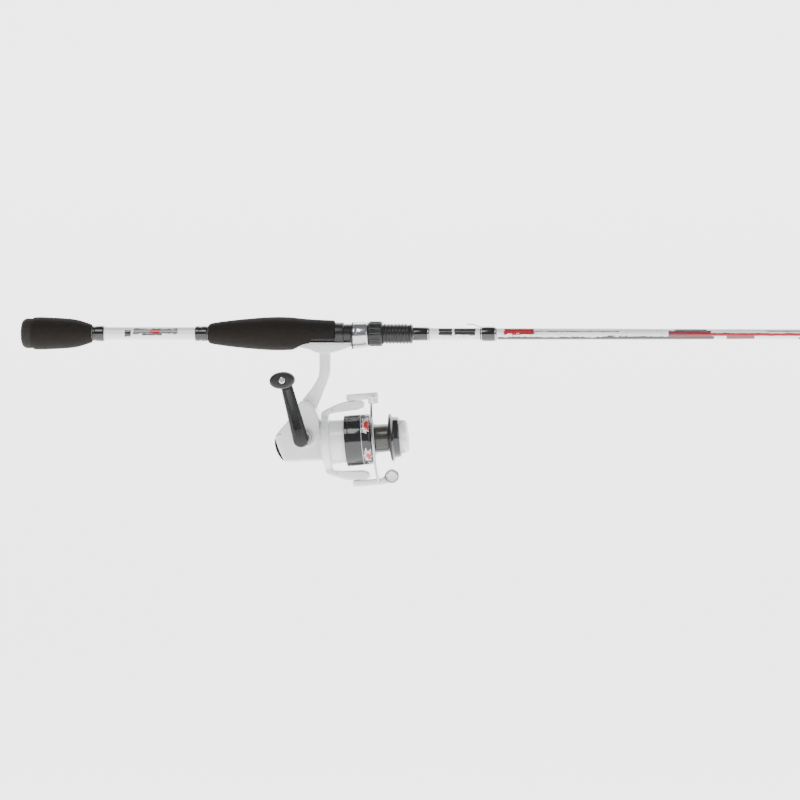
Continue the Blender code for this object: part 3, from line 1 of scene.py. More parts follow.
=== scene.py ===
"""Looks of a two-piece spinning rod and its front-drag reel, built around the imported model."""
import json
import math

import bmesh
import bpy
from mathutils import Matrix, Vector


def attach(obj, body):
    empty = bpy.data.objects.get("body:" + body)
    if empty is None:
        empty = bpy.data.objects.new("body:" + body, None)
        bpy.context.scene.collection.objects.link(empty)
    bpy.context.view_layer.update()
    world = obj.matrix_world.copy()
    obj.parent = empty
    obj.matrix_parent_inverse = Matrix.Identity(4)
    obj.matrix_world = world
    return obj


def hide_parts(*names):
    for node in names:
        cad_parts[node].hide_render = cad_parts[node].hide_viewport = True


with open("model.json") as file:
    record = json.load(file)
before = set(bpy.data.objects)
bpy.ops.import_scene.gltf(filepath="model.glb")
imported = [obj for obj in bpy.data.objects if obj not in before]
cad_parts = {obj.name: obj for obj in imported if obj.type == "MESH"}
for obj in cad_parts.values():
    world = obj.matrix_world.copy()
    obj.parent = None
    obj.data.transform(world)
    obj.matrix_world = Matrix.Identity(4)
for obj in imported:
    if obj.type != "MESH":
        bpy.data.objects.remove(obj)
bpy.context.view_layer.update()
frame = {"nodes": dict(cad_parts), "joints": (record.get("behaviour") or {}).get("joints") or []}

MM = 0.001
TAU = math.tau
JOINTS = {joint["name"]: joint for joint in frame["joints"]}

# ---------------------------------------------------------------- places, from the frame

def joint_frame(joint, along):
    """Millimetre frame at a joint's point: X lies along the given direction and Y stays world Y."""
    x = Vector(along).normalized()
    y = Vector((0.0, 1.0, 0.0))
    z = x.cross(y)
    place = Matrix((x, y, z)).transposed().to_4x4()
    place.translation = Vector(JOINTS[joint]["pos_m"])
    return place @ Matrix.Scale(MM, 4)


SPOOL_DIRECTION = JOINTS["spool_spin"]["axis"]
ROD = Matrix.Scale(MM, 4)
CRANK = joint_frame("crank_turn", (1.0, 0.0, 0.0))
BAIL = joint_frame("bail_flip", SPOOL_DIRECTION)
ROLLER = joint_frame("line_roller_spin", SPOOL_DIRECTION)
KNOB = joint_frame("knob_spin", (1.0, 0.0, 0.0))
LEVER = joint_frame("anti_reverse_turn", (1.0, 0.0, 0.0))
PIVOT_S = 47.1               # bail pivot along the spool axis, from below the crank
SPOOL = BAIL @ Matrix.Translation((-PIVOT_S, 0.0, 0.0))


# ---------------------------------------------------------------- camera, light and floor

def add_camera():
    """A long lens, a little towards the tip and a little above the rod."""
    target = Vector((0.3428, 0.0, -0.0596))
    azimuth, elevation, distance = math.radians(4.0), math.radians(1.8), 4.5
    away = Vector((math.sin(azimuth) * math.cos(elevation), -math.cos(azimuth) * math.cos(elevation),
                   math.sin(elevation)))
    data = bpy.data.cameras.new("camera")
    data.lens = 225.0
    data.sensor_width = 36.0
    data.clip_end = 50.0
    camera = bpy.data.objects.new("camera", data)
    bpy.context.scene.collection.objects.link(camera)
    camera.location = target + away * distance
    camera.rotation_euler = (-away).to_track_quat("-Z", "Y").to_euler()
    bpy.context.scene.camera = camera


def add_area(name, spot, aim, size, power, shape="RECTANGLE"):
    data = bpy.data.lights.new(name, "AREA")
    data.shape = shape
    data.size, data.size_y = size
    data.energy = power
    light = bpy.data.objects.new(name, data)
    bpy.context.scene.collection.objects.link(light)
    light.location = spot
    light.rotation_euler = (Vector(aim) - Vector(spot)).to_track_quat("-Z", "Y").to_euler()


def add_studio():
    """A pale floor that curves up into a backdrop, with large soft lights."""
    depth, rise, bend = 1.3, 4.0, 0.8
    floor_z = -0.62
    profile = [(-6.0, floor_z)]
    for i in range(13):
        angle = math.radians(90.0 * i / 12)
        profile.append((depth + bend * math.sin(angle), floor_z + bend * (1.0 - math.cos(angle))))
    profile.append((depth + bend, rise))
    half = 6.0
    verts = [(x, y, z) for y, z in profile for x in (-half, half + 1.0)]
    faces = [(2 * i, 2 * i + 1, 2 * i + 3, 2 * i + 2) for i in range(len(profile) - 1)]
    mesh = bpy.data.meshes.new("floor")
    mesh.from_pydata(verts, [], faces)
    mesh.shade_smooth()
    floor = bpy.data.objects.new("floor", mesh)
    bpy.context.scene.collection.objects.link(floor)
    material = bpy.data.materials.new("floor")
    material.use_nodes = True
    shader = material.node_tree.nodes["Principled BSDF"]
    shader.inputs["Base Color"].default_value = (0.93, 0.93, 0.935, 1.0)
    shader.inputs["Roughness"].default_value = 0.9
    shader.inputs["Emission Color"].default_value = (1.0, 1.0, 1.0, 1.0)
    shader.inputs["Emission Strength"].default_value = 2.2
    mesh.materials.append(material)
    add_area("key_light", (-0.6, -2.2, 2.2), (0.35, 0.0, -0.05), (1.6, 1.2), 40.0)
    add_area("fill_light", (2.2, -2.6, 0.7), (0.35, 0.0, -0.05), (1.4, 1.6), 14.0)
    add_area("low_light", (0.3, -2.4, -0.5), (0.35, 0.0, -0.05), (2.0, 0.5), 2.0)
    add_area("back_light", (0.4, 1.2, 1.6), (0.35, 0.3, -0.3), (3.0, 0.8), 20.0)
    world = bpy.data.worlds.new("world")
    world.use_nodes = True
    world.node_tree.nodes["Background"].inputs["Color"].default_value = (0.95, 0.96, 1.0, 1.0)
    world.node_tree.nodes["Background"].inputs["Strength"].default_value = 0.35
    bpy.context.scene.world = world


# ---------------------------------------------------------------- shader tools

class Tree:
    """Short hand for adding nodes to one node tree."""

    def __init__(self, tree):
        self.tree = tree

    def add(self, kind, **settings):
        node = self.tree.nodes.new(kind)
        for key, value in settings.items():
            setattr(node, key, value)
        return node

    def link(self, source, target):
        self.tree.links.new(source, target)

    def feed(self, socket, value):
        """Put a number, a colour or another node's output on a socket."""
        if isinstance(value, bpy.types.NodeSocket):
            self.link(value, socket)
        else:
            socket.default_value = value

    def math(self, operation, a, b=0.0, clamp=False):
        node = self.add("ShaderNodeMath", operation=operation, use_clamp=clamp)
        self.feed(node.inputs[0], a)
        self.feed(node.inputs[1], b)
        return node.outputs[0]

    def noise(self, vector, scale, detail=2.0, roughness=0.5):
        node = self.add("ShaderNodeTexNoise")
        self.link(vector, node.inputs["Vector"])
        self.feed(node.inputs["Scale"], scale)
        node.inputs["Detail"].default_value = detail
        node.inputs["Roughness"].default_value = roughness
        return node.outputs["Fac"]

    def ramp(self, value, low_value, high_value, low_out=0.0, high_out=1.0):
        node = self.add("ShaderNodeMapRange", interpolation_type="SMOOTHSTEP")
        self.feed(node.inputs["Value"], value)
        self.feed(node.inputs["From Min"], low_value)
        self.feed(node.inputs["From Max"], high_value)
        self.feed(node.inputs["To Min"], low_out)
        self.feed(node.inputs["To Max"], high_out)
        return node.outputs["Result"]

    def mix(self, factor, a, b):
        node = self.add("ShaderNodeMix", data_type="RGBA")
        self.feed(node.inputs[0], factor)
        self.feed(node.inputs[6], a)
        self.feed(node.inputs[7], b)
        return node.outputs[2]


def new_group(name, inputs, outputs):
    """An empty shader group with named float, colour and vector sockets."""
    group = bpy.data.node_groups.new(name, "ShaderNodeTree")
    for label, kind, value in inputs:
        socket = group.interface.new_socket(label, in_out="INPUT", socket_type=kind)
        if value is not None:
            socket.default_value = value
    for label, kind in outputs:
        group.interface.new_socket(label, in_out="OUTPUT", socket_type=kind)
    tree = Tree(group)
    return group, tree, tree.add("NodeGroupInput").outputs, tree.add("NodeGroupOutput").inputs


FLOAT, COLOUR, VECTOR = "NodeSocketFloat", "NodeSocketColor", "NodeSocketVector"


def build_surface_group():
    """Moulded or cast surface: faint colour drift, roughness smudges and a fine height."""
    group, tree, given, made = new_group(
        "moulded_surface",
        [("Vector", VECTOR, None), ("Color", COLOUR, (0.5, 0.5, 0.5, 1.0)), ("Drift", FLOAT, 0.06),
         ("Roughness", FLOAT, 0.3), ("Smudge", FLOAT, 0.1), ("Grain Scale", FLOAT, 1500.0)],
        [("Color", COLOUR), ("Roughness", FLOAT), ("Height", FLOAT)])
    broad = tree.noise(given["Vector"], 38.0, 3.0)
    fine = tree.noise(given["Vector"], given["Grain Scale"], 2.0)
    streak = tree.noise(given["Vector"], 210.0, 4.0, 0.65)
    shade = tree.ramp(broad, 0.3, 0.7, 1.0, tree.math("SUBTRACT", 1.0, given["Drift"]))
    darker = tree.add("ShaderNodeVectorMath", operation="SCALE")
    tree.link(given["Color"], darker.inputs[0])
    tree.link(shade, darker.inputs["Scale"])
    tree.link(darker.outputs[0], made["Color"])
    smear = tree.math("MULTIPLY", tree.math("SUBTRACT", streak, 0.5), given["Smudge"])
    tree.link(tree.math("ADD", given["Roughness"], smear, True), made["Roughness"])
    tree.link(tree.math("ADD", tree.math("MULTIPLY", fine, 0.5), tree.math("MULTIPLY", streak, 0.5)),
              made["Height"])
    return group


def build_foam_group():
    """Closed-cell foam: a fine skin of cut cells, with a few larger pits and a worn sheen; the cell hollows and
    pits are painted darker as shade.
    """
    group, tree, given, made = new_group(
        "foam_cells",
        [("Vector", VECTOR, None), ("Color", COLOUR, (0.03, 0.025, 0.02, 1.0)), ("Cell Scale", FLOAT, 1400.0),
         ("Pit", FLOAT, 0.5)],
        [("Color", COLOUR), ("Roughness", FLOAT), ("Height", FLOAT)])
    cells = tree.add("ShaderNodeTexVoronoi", feature="F1")
    tree.link(given["Vector"], cells.inputs["Vector"])
    tree.link(given["Cell Scale"], cells.inputs["Scale"])
    pits = tree.add("ShaderNodeTexVoronoi", feature="F1")
    tree.link(given["Vector"], pits.inputs["Vector"])
    tree.link(tree.math("MULTIPLY", given["Cell Scale"], 0.33), pits.inputs["Scale"])
    pit = tree.math("MULTIPLY", tree.ramp(pits.outputs["Distance"], 0.0, 0.28, 1.0, 0.0), given["Pit"])
    cloud = tree.noise(given["Vector"], 90.0, 4.0, 0.6)
    grain = tree.ramp(cells.outputs["Distance"], 0.05, 0.75)
    # Colour brightness: the cell and pit terms make the colour darker in the cell hollows and pits, where the
    # height is low, which is painted shade; the cloud term is random tone.
    light = tree.math("ADD", tree.math("MULTIPLY", grain, 0.5), tree.math("MULTIPLY", cloud, 0.85))
    scaled = tree.add("ShaderNodeVectorMath", operation="SCALE")
    tree.link(given["Color"], scaled.inputs[0])
    tree.link(tree.math("SUBTRACT", tree.math("ADD", light, 0.35), tree.math("MULTIPLY", pit, 0.5)),
              scaled.inputs["Scale"])
    tree.link(scaled.outputs[0], made["Color"])
    tree.link(tree.math("ADD", 0.74, tree.math("MULTIPLY", cloud, 0.2)), made["Roughness"])
    tree.link(tree.math("SUBTRACT", tree.math("MULTIPLY", grain, 0.6), pit), made["Height"])
    return group


def build_patch_group():
    """A painted patch between two lengths and two heights, with a ragged, brushed edge."""
    group, tree, given, made = new_group(
        "painted_patch",
        [("Along", FLOAT, 0.0), ("Height", FLOAT, 0.0), ("Rag", FLOAT, 0.5), ("Start", FLOAT, 0.0),
         ("End", FLOAT, 1.0), ("Bottom", FLOAT, -1.0), ("Top", FLOAT, 1.0), ("Ragged", FLOAT, 2.0)],
        [("Mask", FLOAT)])
    wander = tree.math("MULTIPLY", tree.math("SUBTRACT", given["Rag"], 0.5), given["Ragged"])
    along = tree.math("ADD", given["Along"], tree.math("MULTIPLY", wander, 5.0))
    height = tree.math("ADD", given["Height"], wander)
    after = tree.ramp(tree.math("SUBTRACT", along, given["Start"]), -0.15, 0.15)
    before = tree.ramp(tree.math("SUBTRACT", given["End"], along), -0.15, 0.15)
    above = tree.ramp(tree.math("SUBTRACT", height, given["Bottom"]), -0.03, 0.03)
    below = tree.ramp(tree.math("SUBTRACT", given["Top"], height), -0.03, 0.03)
    lengthwise = tree.math("MULTIPLY", after, before)
    upright = tree.math("MULTIPLY", above, below)
    tree.link(tree.math("MULTIPLY", lengthwise, upright), made["Mask"])
    return group


SURFACE = build_surface_group()
FOAM = build_foam_group()
PATCH = build_patch_group()


def start_material(name, roughness=0.4, metallic=0.0):
    material = bpy.data.materials.new(name)
    material.use_nodes = True
    tree = Tree(material.node_tree)
    shader = material.node_tree.nodes["Principled BSDF"]
    shader.inputs["Roughness"].default_value = roughness
    shader.inputs["Metallic"].default_value = metallic
    place = tree.add("ShaderNodeTexCoord").outputs["Object"]
    return material, tree, shader, place


def add_bump(tree, shader, height, strength, distance):
    bump = tree.add("ShaderNodeBump")
    bump.inputs["Strength"].default_value = strength
    bump.inputs["Distance"].default_value = distance * MM
    tree.link(height, bump.inputs["Height"])
    tree.link(bump.outputs[0], shader.inputs["Normal"])


def group_node(tree, group, **values):
    node = tree.add("ShaderNodeGroup")
    node.node_tree = group
    for label, value in values.items():
        tree.feed(node.inputs[label.replace("_", " ").title()], value)
    return node


def moulded(name, colour, roughness, metallic=0.0, drift=0.06, smudge=0.1, grain=1500.0, bump=0.1, coat=0.0,
            relief=0.05):
    """A finish with the moulded surface's drift, smudges and fine texture."""
    material, tree, shader, place = start_material(name, roughness, metallic)
    skin = group_node(tree, SURFACE, vector=place, color=(*colour, 1.0), drift=drift, roughness=roughness,
                      smudge=smudge, grain_scale=grain)
    tree.link(skin.outputs["Color"], shader.inputs["Base Color"])
    tree.link(skin.outputs["Roughness"], shader.inputs["Roughness"])
    shader.inputs["Coat Weight"].default_value = coat
    shader.inputs["Coat Roughness"].default_value = 0.06
    add_bump(tree, shader, skin.outputs["Height"], bump, relief)
    return material


def foam_material(name, colour, cell, pit, strength):
    material, tree, shader, place = start_material(name, 0.85)
    skin = group_node(tree, FOAM, vector=place, color=(*colour, 1.0), cell_scale=cell, pit=pit)
    tree.link(skin.outputs["Color"], shader.inputs["Base Color"])
    tree.link(skin.outputs["Roughness"], shader.inputs["Roughness"])
    shader.inputs["Specular IOR Level"].default_value = 0.18
    shader.inputs["Sheen Weight"].default_value = 0.03
    add_bump(tree, shader, skin.outputs["Height"], strength, 0.12)
    return material


BLANK_MARKS = (
    # start, end, bottom, top (share of the radius), raggedness, colour name
    (94.0, 100.0, -0.5, 0.6, 1.0, "charcoal"),
    (102.0, 142.0, -0.05, 0.75, 0.9, "grey"),
    (110.0, 128.0, -0.28, -0.02, 0.35, "charcoal"),
    (117.0, 126.0, 0.05, 0.62, 0.7, "red"),
    (378.0, 390.0, -0.25, 1.2, 0.7, "charcoal"),
    (392.0, 411.0, -0.2, 1.2, 0.7, "charcoal"),
    (431.0, 526.0, -1.2, -0.52, 0.8, "charcoal"),
    (437.0, 464.0, -0.05, 1.2, 1.6, "red"),
    (462.0, 540.0, 0.42, 0.56, 0.25, "charcoal"),
    (520.0, 625.0, -1.2, -0.35, 1.0, "charcoal"),
    (584.0, 622.0, -0.5, 0.62, 0.6, "mauve"),
    (590.0, 618.0, 0.58, 1.2, 0.3, "grey"),
    (602.0, 772.0, -0.3, 0.25, 0.35, "red"),
    (636.0, 661.0, -0.95, -0.25, 0.6, "mauve"),
    (671.0, 776.0, 0.55, 0.72, 0.18, "charcoal"),
    (700.0, 770.0, -1.2, -0.62, 0.6, "charcoal"),
)
PAINTS = {
    "grey": (0.16, 0.16, 0.17), "charcoal": (0.022, 0.022, 0.024), "red": (0.32, 0.008, 0.014),
    "mauve": (0.20, 0.035, 0.045),
}


def blank_material(name, radius, radius_at_end, length, marks):
    """Clear-coated white blank with brushed, ragged paint marks and a scatter of specks."""
    material, tree, shader, place = start_material(name, 0.14)
    split = tree.add("ShaderNodeSeparateXYZ")
    tree.link(place, split.inputs[0])
    along = tree.math("MULTIPLY", split.outputs["X"], 1.0 / MM)
    width = tree.ramp(along, 0.0, length, radius, radius_at_end)
    tree.tree.nodes[-1].interpolation_type = "LINEAR"
    height = tree.math("DIVIDE", tree.math("MULTIPLY", split.outputs["Z"], 1.0 / MM), width)
    stretch = tree.add("ShaderNodeMapping")
    stretch.inputs["Scale"].default_value = (0.22, 1.0, 1.0)
    tree.link(place, stretch.inputs["Vector"])
    brush = tree.noise(stretch.outputs[0], 620.0, 4.0, 0.62)
    fine = tree.noise(place, 1900.0, 1.0)
    drift = tree.noise(place, 30.0, 3.0)
    colour = tree.mix(tree.ramp(drift, 0.35, 0.65), (0.83, 0.83, 0.825, 1.0), (0.86, 0.86, 0.86, 1.0))
    for start, end, bottom, top, ragged, paint in marks:
        patch = group_node(tree, PATCH, along=along, height=height, rag=brush, start=start, end=end,
                           bottom=bottom, top=top, ragged=ragged)
        colour = tree.mix(patch.outputs["Mask"], colour, (*PAINTS[paint], 1.0))
    for start, end, scale, share in ((92.0, 157.0, 1000.0, 0.70),
                                     (378.0, 640.0, 760.0, 0.71)) if marks else ():
        near = tree.math("MULTIPLY", tree.ramp(along, start, start + 8.0),
                         tree.ramp(along, end - 8.0, end, 1.0, 0.0))
        specks = tree.ramp(tree.noise(place, scale, 1.0), share - 0.015, share + 0.015)
        colour = tree.mix(tree.math("MULTIPLY", near, specks), colour, (0.03, 0.03, 0.032, 1.0))
    tree.link(colour, shader.inputs["Base Color"])
    tree.link(tree.math("ADD", 0.1, tree.math("MULTIPLY", drift, 0.12)), shader.inputs["Roughness"])
    shader.inputs["Coat Weight"].default_value = 0.6
    shader.inputs["Coat Roughness"].default_value = 0.04
    add_bump(tree, shader, fine, 0.05, 0.05)
    return material


def spool_material(name):
    """Lacquered black skirt with turned lines, a pale pin line and jagged red and white flashes."""
    material, tree, shader, place = start_material(name, 0.16, 0.15)
    direction = Vector(SPOOL_DIRECTION)
    origin = SPOOL.translation
    shift = tree.add("ShaderNodeVectorMath", operation="SUBTRACT")
    tree.link(place, shift.inputs[0])
    shift.inputs[1].default_value = origin
    dot = tree.add("ShaderNodeVectorMath", operation="DOT_PRODUCT")
    tree.link(shift.outputs[0], dot.inputs[0])
    dot.inputs[1].default_value = direction
    along = tree.math("MULTIPLY", dot.outputs["Value"], 1.0 / MM)
    up = tree.add("ShaderNodeVectorMath", operation="DOT_PRODUCT")
    tree.link(shift.outputs[0], up.inputs[0])
    up.inputs[1].default_value = Vector((-direction.z, 0.0, direction.x))
    height = tree.math("MULTIPLY", up.outputs["Value"], 1.0 / MM)
    rag = tree.noise(place, 330.0, 3.0, 0.7)
    jag = tree.noise(place, 820.0, 2.0, 0.6)
    drift = tree.noise(place, 60.0, 3.0)
    colour = tree.mix(tree.ramp(drift, 0.3, 0.7), (0.009, 0.009, 0.010, 1.0), (0.016, 0.016, 0.018, 1.0))
    flashes = ((52.6, 58.6, 6.5, 19.5, 8.0, (0.62, 0.62, 0.63, 1.0)),
               (54.0, 58.2, 8.5, 17.0, 7.0, (0.5, 0.012, 0.012, 1.0)),
               (52.8, 58.6, -19.5, -9.0, 8.0, (0.62, 0.62, 0.63, 1.0)), (54.2, 58.2, -17.5, -11.0, 7.0,
                                                                         (0.5, 0.012, 0.012, 1.0)))
    for start, end, bottom, top, ragged, paint in flashes:
        wander = tree.math("MULTIPLY", tree.math("SUBTRACT", jag, 0.5), ragged)
        length = tree.math("ADD", along, wander)
        rise = tree.math("ADD", height, tree.math("MULTIPLY", tree.math("SUBTRACT", rag, 0.5), ragged * 1.8))
        mask = tree.math("MULTIPLY", tree.math("MULTIPLY", tree.ramp(length, start, start + 0.3),
                                               tree.ramp(length, end - 0.3, end, 1.0, 0.0)),
                         tree.math("MULTIPLY", tree.ramp(rise, bottom, bottom + 0.6),
                                   tree.ramp(rise, top - 0.6, top, 1.0, 0.0)))
        colour = tree.mix(mask, colour, paint)
    pin = tree.math("MULTIPLY", tree.ramp(along, 51.0, 51.15), tree.ramp(along, 51.4, 51.55, 1.0, 0.0))
    colour = tree.mix(pin, colour, (0.55, 0.55, 0.56, 1.0))
    arbor = tree.math("MULTIPLY", tree.ramp(along, 61.5, 62.5), tree.ramp(along, 75.5, 76.5, 1.0, 0.0))
    colour = tree.mix(tree.math("MULTIPLY", arbor, 0.85), colour, (0.028, 0.026, 0.018, 1.0))
    tree.link(colour, shader.inputs["Base Color"])
    turned = tree.math("SINE", tree.math("MULTIPLY", along, 15.0))
    tree.link(tree.math("ADD", 0.13, tree.math("MULTIPLY", arbor, 0.22)), shader.inputs["Roughness"])
    shader.inputs["Coat Weight"].default_value = 0.5
    add_bump(tree, shader, tree.math("MULTIPLY", turned, tree.math("ADD", 0.04, arbor)), 0.25, 0.06)
    return material


def turned_metal(name, colour, roughness, scale=900.0, smudge=0.12, bump=0.08):
    """Bright metal with faint marks left by polishing."""
    return moulded(name, colour, roughness, 1.0, 0.05, smudge, scale, bump, relief=0.03)


MATERIALS = {
    "foam": foam_material("eva_foam", (0.010, 0.0082, 0.0068), 1300.0, 0.55, 0.55),
    "rubber": foam_material("butt_rubber", (0.020, 0.0185, 0.0165), 2300.0, 0.18, 0.3),
    "collar": moulded("gloss_collar", (0.004, 0.004, 0.0045), 0.16, coat=0.5),
    "seat": moulded("seat_plastic", (0.006, 0.006, 0.0065), 0.34, smudge=0.16, bump=0.16),
    "rim": moulded("seat_rim", (0.30, 0.30, 0.31), 0.3),
    "chrome": turned_metal("polished_metal", (0.50, 0.50, 0.52), 0.18),
    "wire": turned_metal("polished_wire", (0.42, 0.42, 0.44), 0.18),
    "silver_band": turned_metal("silver_band", (0.55, 0.55, 0.56), 0.22),
    "thread": moulded("wrap_thread", (0.005, 0.005, 0.006), 0.16, coat=0.8, grain=2600.0),
    "ceramic": moulded("ring_ceramic", (0.03, 0.03, 0.036), 0.07),
    "white": moulded("white_moulding", (0.80, 0.805, 0.81), 0.17, drift=0.03, smudge=0.08, coat=0.35,
                     bump=0.05),
    "white_satin": moulded("white_satin", (0.74, 0.745, 0.755), 0.26, drift=0.04, smudge=0.1, bump=0.07),
    "black": moulded("black_satin", (0.005, 0.005, 0.0055), 0.26, smudge=0.14, bump=0.1),
    "grip": moulded("knob_grip", (0.005, 0.005, 0.0052), 0.42, smudge=0.16, grain=1900.0, bump=0.2),
    "grey": moulded("grey_ring", (0.10, 0.10, 0.105), 0.3),
    "spool": spool_material("spool_lacquer"),
    "steel": turned_metal("machined_steel", (0.56, 0.57, 0.59), 0.24),
    "brass": turned_metal("cut_brass", (0.66, 0.48, 0.20), 0.28),
    "zinc": turned_metal("cast_zinc", (0.44, 0.45, 0.47), 0.42, 500.0, 0.2, 0.2),
    "felt": foam_material("oiled_felt", (0.20, 0.165, 0.11), 1800.0, 0.2, 0.8),
    "acetal": moulded("acetal", (0.68, 0.67, 0.61), 0.45),
}


# ---------------------------------------------------------------- mesh tools

def fillet(points, radius, steps=4, closed=True):
    """Round an outline's corners by a radius, or by what its short sides allow."""
    points = [Vector(p) for p in points]
    count = len(points)
    rounded = []
    for i, corner in enumerate(points):
        if not closed and i in (0, count - 1):
            rounded.append(tuple(corner))
            continue
        back, ahead = points[i - 1] - corner, points[(i + 1) % count] - corner
        if back.length < 1e-6 or ahead.length < 1e-6:
            continue
        turn = math.pi - back.angle(ahead)
        if turn < 0.12:
            rounded.append(tuple(corner))
            continue
        reach = min(radius * math.tan(turn / 2), back.length * 0.45, ahead.length * 0.45)
        first, last = corner + back.normalized() * reach, corner + ahead.normalized() * reach
        for k in range(steps + 1):
            t = k / steps
            rounded.append(tuple(first * (1 - t) ** 2 + corner * 2 * t * (1 - t) + last * t * t))
    return rounded


def inset(outline, distance):
    """The outline moved inwards by an even distance."""
    points = [Vector(p) for p in outline]
    count = len(points)
    area = sum(points[i].cross(points[(i + 1) % count]) for i in range(count))
    side = 1.0 if area > 0 else -1.0
    moved = []
    for i in range(count):
        before = (points[i] - points[i - 1]).normalized()
        after = (points[(i + 1) % count] - points[i]).normalized()
        push = Vector((-before.y, before.x)) + Vector((-after.y, after.x))
        moved.append(tuple(points[i] + push * side * distance / max(0.35, 1.0 + before.dot(after))))
    return moved


def circle(centre, radius, steps, first=0.0, last=360.0):
    whole = abs(last - first) >= 360.0
    count = steps if whole else steps + 1
    angles = [math.radians(first + (last - first) * i / steps) for i in range(count)]
    return [(centre[0] + radius * math.cos(a), centre[1] + radius * math.sin(a)) for a in angles]


def finish_mesh(bm, name, place, sharp=40.0):
    """Close a millimetre mesh up, face it outwards, put it in its place and shade it smooth."""
    bmesh.ops.remove_doubles(bm, verts=bm.verts, dist=0.0008)
    bmesh.ops.recalc_face_normals(bm, faces=bm.faces)
    bm.transform(place)
    mesh = bpy.data.meshes.new(name)
    bm.to_mesh(mesh)
    bm.free()
    mesh.shade_smooth()
    mesh.set_sharp_from_angle(angle=math.radians(sharp))
    return mesh


def add_piece(name, mesh, finish, body, replaced=()):
    """Put a finished mesh in the scene, riding on its body and standing for its plain nodes."""
    piece = bpy.data.objects.new(name, mesh)
    bpy.context.scene.collection.objects.link(piece)
    if finish:
        mesh.materials.clear()
        mesh.materials.append(MATERIALS[finish])
    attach(piece, body)
    if replaced:
        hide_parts(*replaced)
    return piece


def swept(rings, closed_ends=True, around=False):
    """A surface through rings of points; one-point rings close to a tip."""
    bm = bmesh.new()
    loops = [[bm.verts.new(p) for p in points] for points in rings]
    pairs = list(zip(loops, loops[1:]))
    if around:
        pairs.append((loops[-1], loops[0]))
    for near, far in pairs:
        count = max(len(near), len(far))
        if len(near) == len(far) == 1:
            continue
        for i in range(count):
            j = (i + 1) % count
            if len(near) == 1:
                bm.faces.new((near[0], far[j], far[i]))
            elif len(far) == 1:
                bm.faces.new((near[i], near[j], far[0]))
            else:
                bm.faces.new((near[i], near[j], far[j], far[i]))
    if closed_ends and not around:
        for loop in (loops[0], loops[-1]):
            if len(loop) > 2:
                bm.faces.new(loop)
    return bm


def lathe(outline, steps=96, axis="X", edge=0.25, wave=None):
    """Turn an outline of (along, radius) about an axis; corners get a small round edge."""
    on_axis = outline[0][1] == 0.0 and outline[-1][1] == 0.0
    profile = fillet(outline, edge, 3, not on_axis)
    rings = []
    for along, radius in profile:
        if radius < 1e-5:
            rings.append([(along, 0.0, 0.0)])
            continue
        loop = []
        for i in range(steps):
            angle = TAU * i / steps
            reach = radius - (wave(along, radius, angle) if wave else 0.0)
            loop.append((along, reach * math.cos(angle), reach * math.sin(angle)))
        rings.append(loop)
    bm = swept(rings, False, not on_axis)
    if axis == "Y":
        bm.transform(Matrix.Rotation(math.radians(90.0), 4, "Z"))
    if axis == "Z":
        bm.transform(Matrix.Rotation(math.radians(-90.0), 4, "Y"))
    return bm


def slab(outline, start, end, edge, axis="Y", steps=4, round_start=True, round_end=True):
    """Extrude an outline along an axis, with its two rims rounded."""
    places = {"X": lambda a, b, level: (level, a, b), "Y": lambda a, b, level: (a, level, b),
              "Z": lambda a, b, level: (a, b, level)}
    quarter = [math.radians(90.0 * k / steps) for k in range(steps + 1)]
    edges = [(edge * (1 - math.cos(turn)), edge * (1 - math.sin(turn))) for turn in quarter]
    levels = [(start + rise, depth) for rise, depth in edges] if round_start else [(start, 0.0)]
    levels += [(end - rise, depth) for rise, depth in reversed(edges)] if round_end else [(end, 0.0)]
    rings = []
    for level, depth in levels:
        loop = inset(outline, depth) if depth > 1e-6 else outline
        rings.append([places[axis](a, b, level) for a, b in loop])
    return swept(rings)


def along_path(points, radius, sides=20, squash=1.0):
    """A round wire through points, with its cross-section carried along without twist."""
    vectors = [Vector(p) for p in points]
    side = None
    rings = []
    for i, point in enumerate(vectors):
        ahead = (vectors[min(i + 1, len(vectors) - 1)] - vectors[max(i - 1, 0)]).normalized()
        if side is None:
            side = ahead.orthogonal().normalized()
        side = (side - ahead * side.dot(ahead)).normalized()
        other = ahead.cross(side)
        here = radius[i] if isinstance(radius, (list, tuple)) else radius
        rings.append([tuple(point + side * here * math.cos(TAU * k / sides)
                            + other * here * squash * math.sin(TAU * k / sides)) for k in range(sides)])
    return swept(rings)


def curve_points(points, steps=8):
    """An open smooth curve through a few points."""
    vectors = [Vector(p) for p in points]
    padded = [vectors[0] * 2 - vectors[1]] + vectors + [vectors[-1] * 2 - vectors[-2]]
    result = []
    for i in range(1, len(padded) - 2):
        p0, p1, p2, p3 = padded[i - 1:i + 3]
        for k in range(steps):
            t = k / steps
            result.append(tuple(0.5 * ((2 * p1) + (p2 - p0) * t + (2 * p0 - 5 * p1 + 4 * p2 - p3) * t * t
                                       + (3 * p1 - p0 - 3 * p2 + p3) * t ** 3)))
    result.append(tuple(vectors[-1]))
    return result


def boolean(bm, operations, place):
    """Join or cut a millimetre mesh by others; returns a world-space mesh."""
    base = bpy.data.objects.new("base", finish_mesh(bm, "base", Matrix.Identity(4)))
    bpy.context.scene.collection.objects.link(base)
    helpers = []
    for operation, other in operations:
        helper = bpy.data.objects.new("helper", finish_mesh(other, "helper", Matrix.Identity(4)))
        bpy.context.scene.collection.objects.link(helper)
        modifier = base.modifiers.new(operation, "BOOLEAN")
        modifier.operation = operation
        modifier.solver = "MANIFOLD"
        modifier.object = helper
        helpers.append(helper)
    mesh = evaluated_mesh(base)
    for obj in [base] + helpers:
        data = obj.data
        bpy.data.objects.remove(obj, do_unlink=True)
        bpy.data.meshes.remove(data)
    mesh.transform(place)
    mesh.shade_smooth()
    mesh.set_sharp_from_angle(angle=math.radians(35.0))
    return mesh


def evaluated_mesh(obj):
    bpy.context.view_layer.update()
    return bpy.data.meshes.new_from_object(obj.evaluated_get(bpy.context.evaluated_depsgraph_get()))


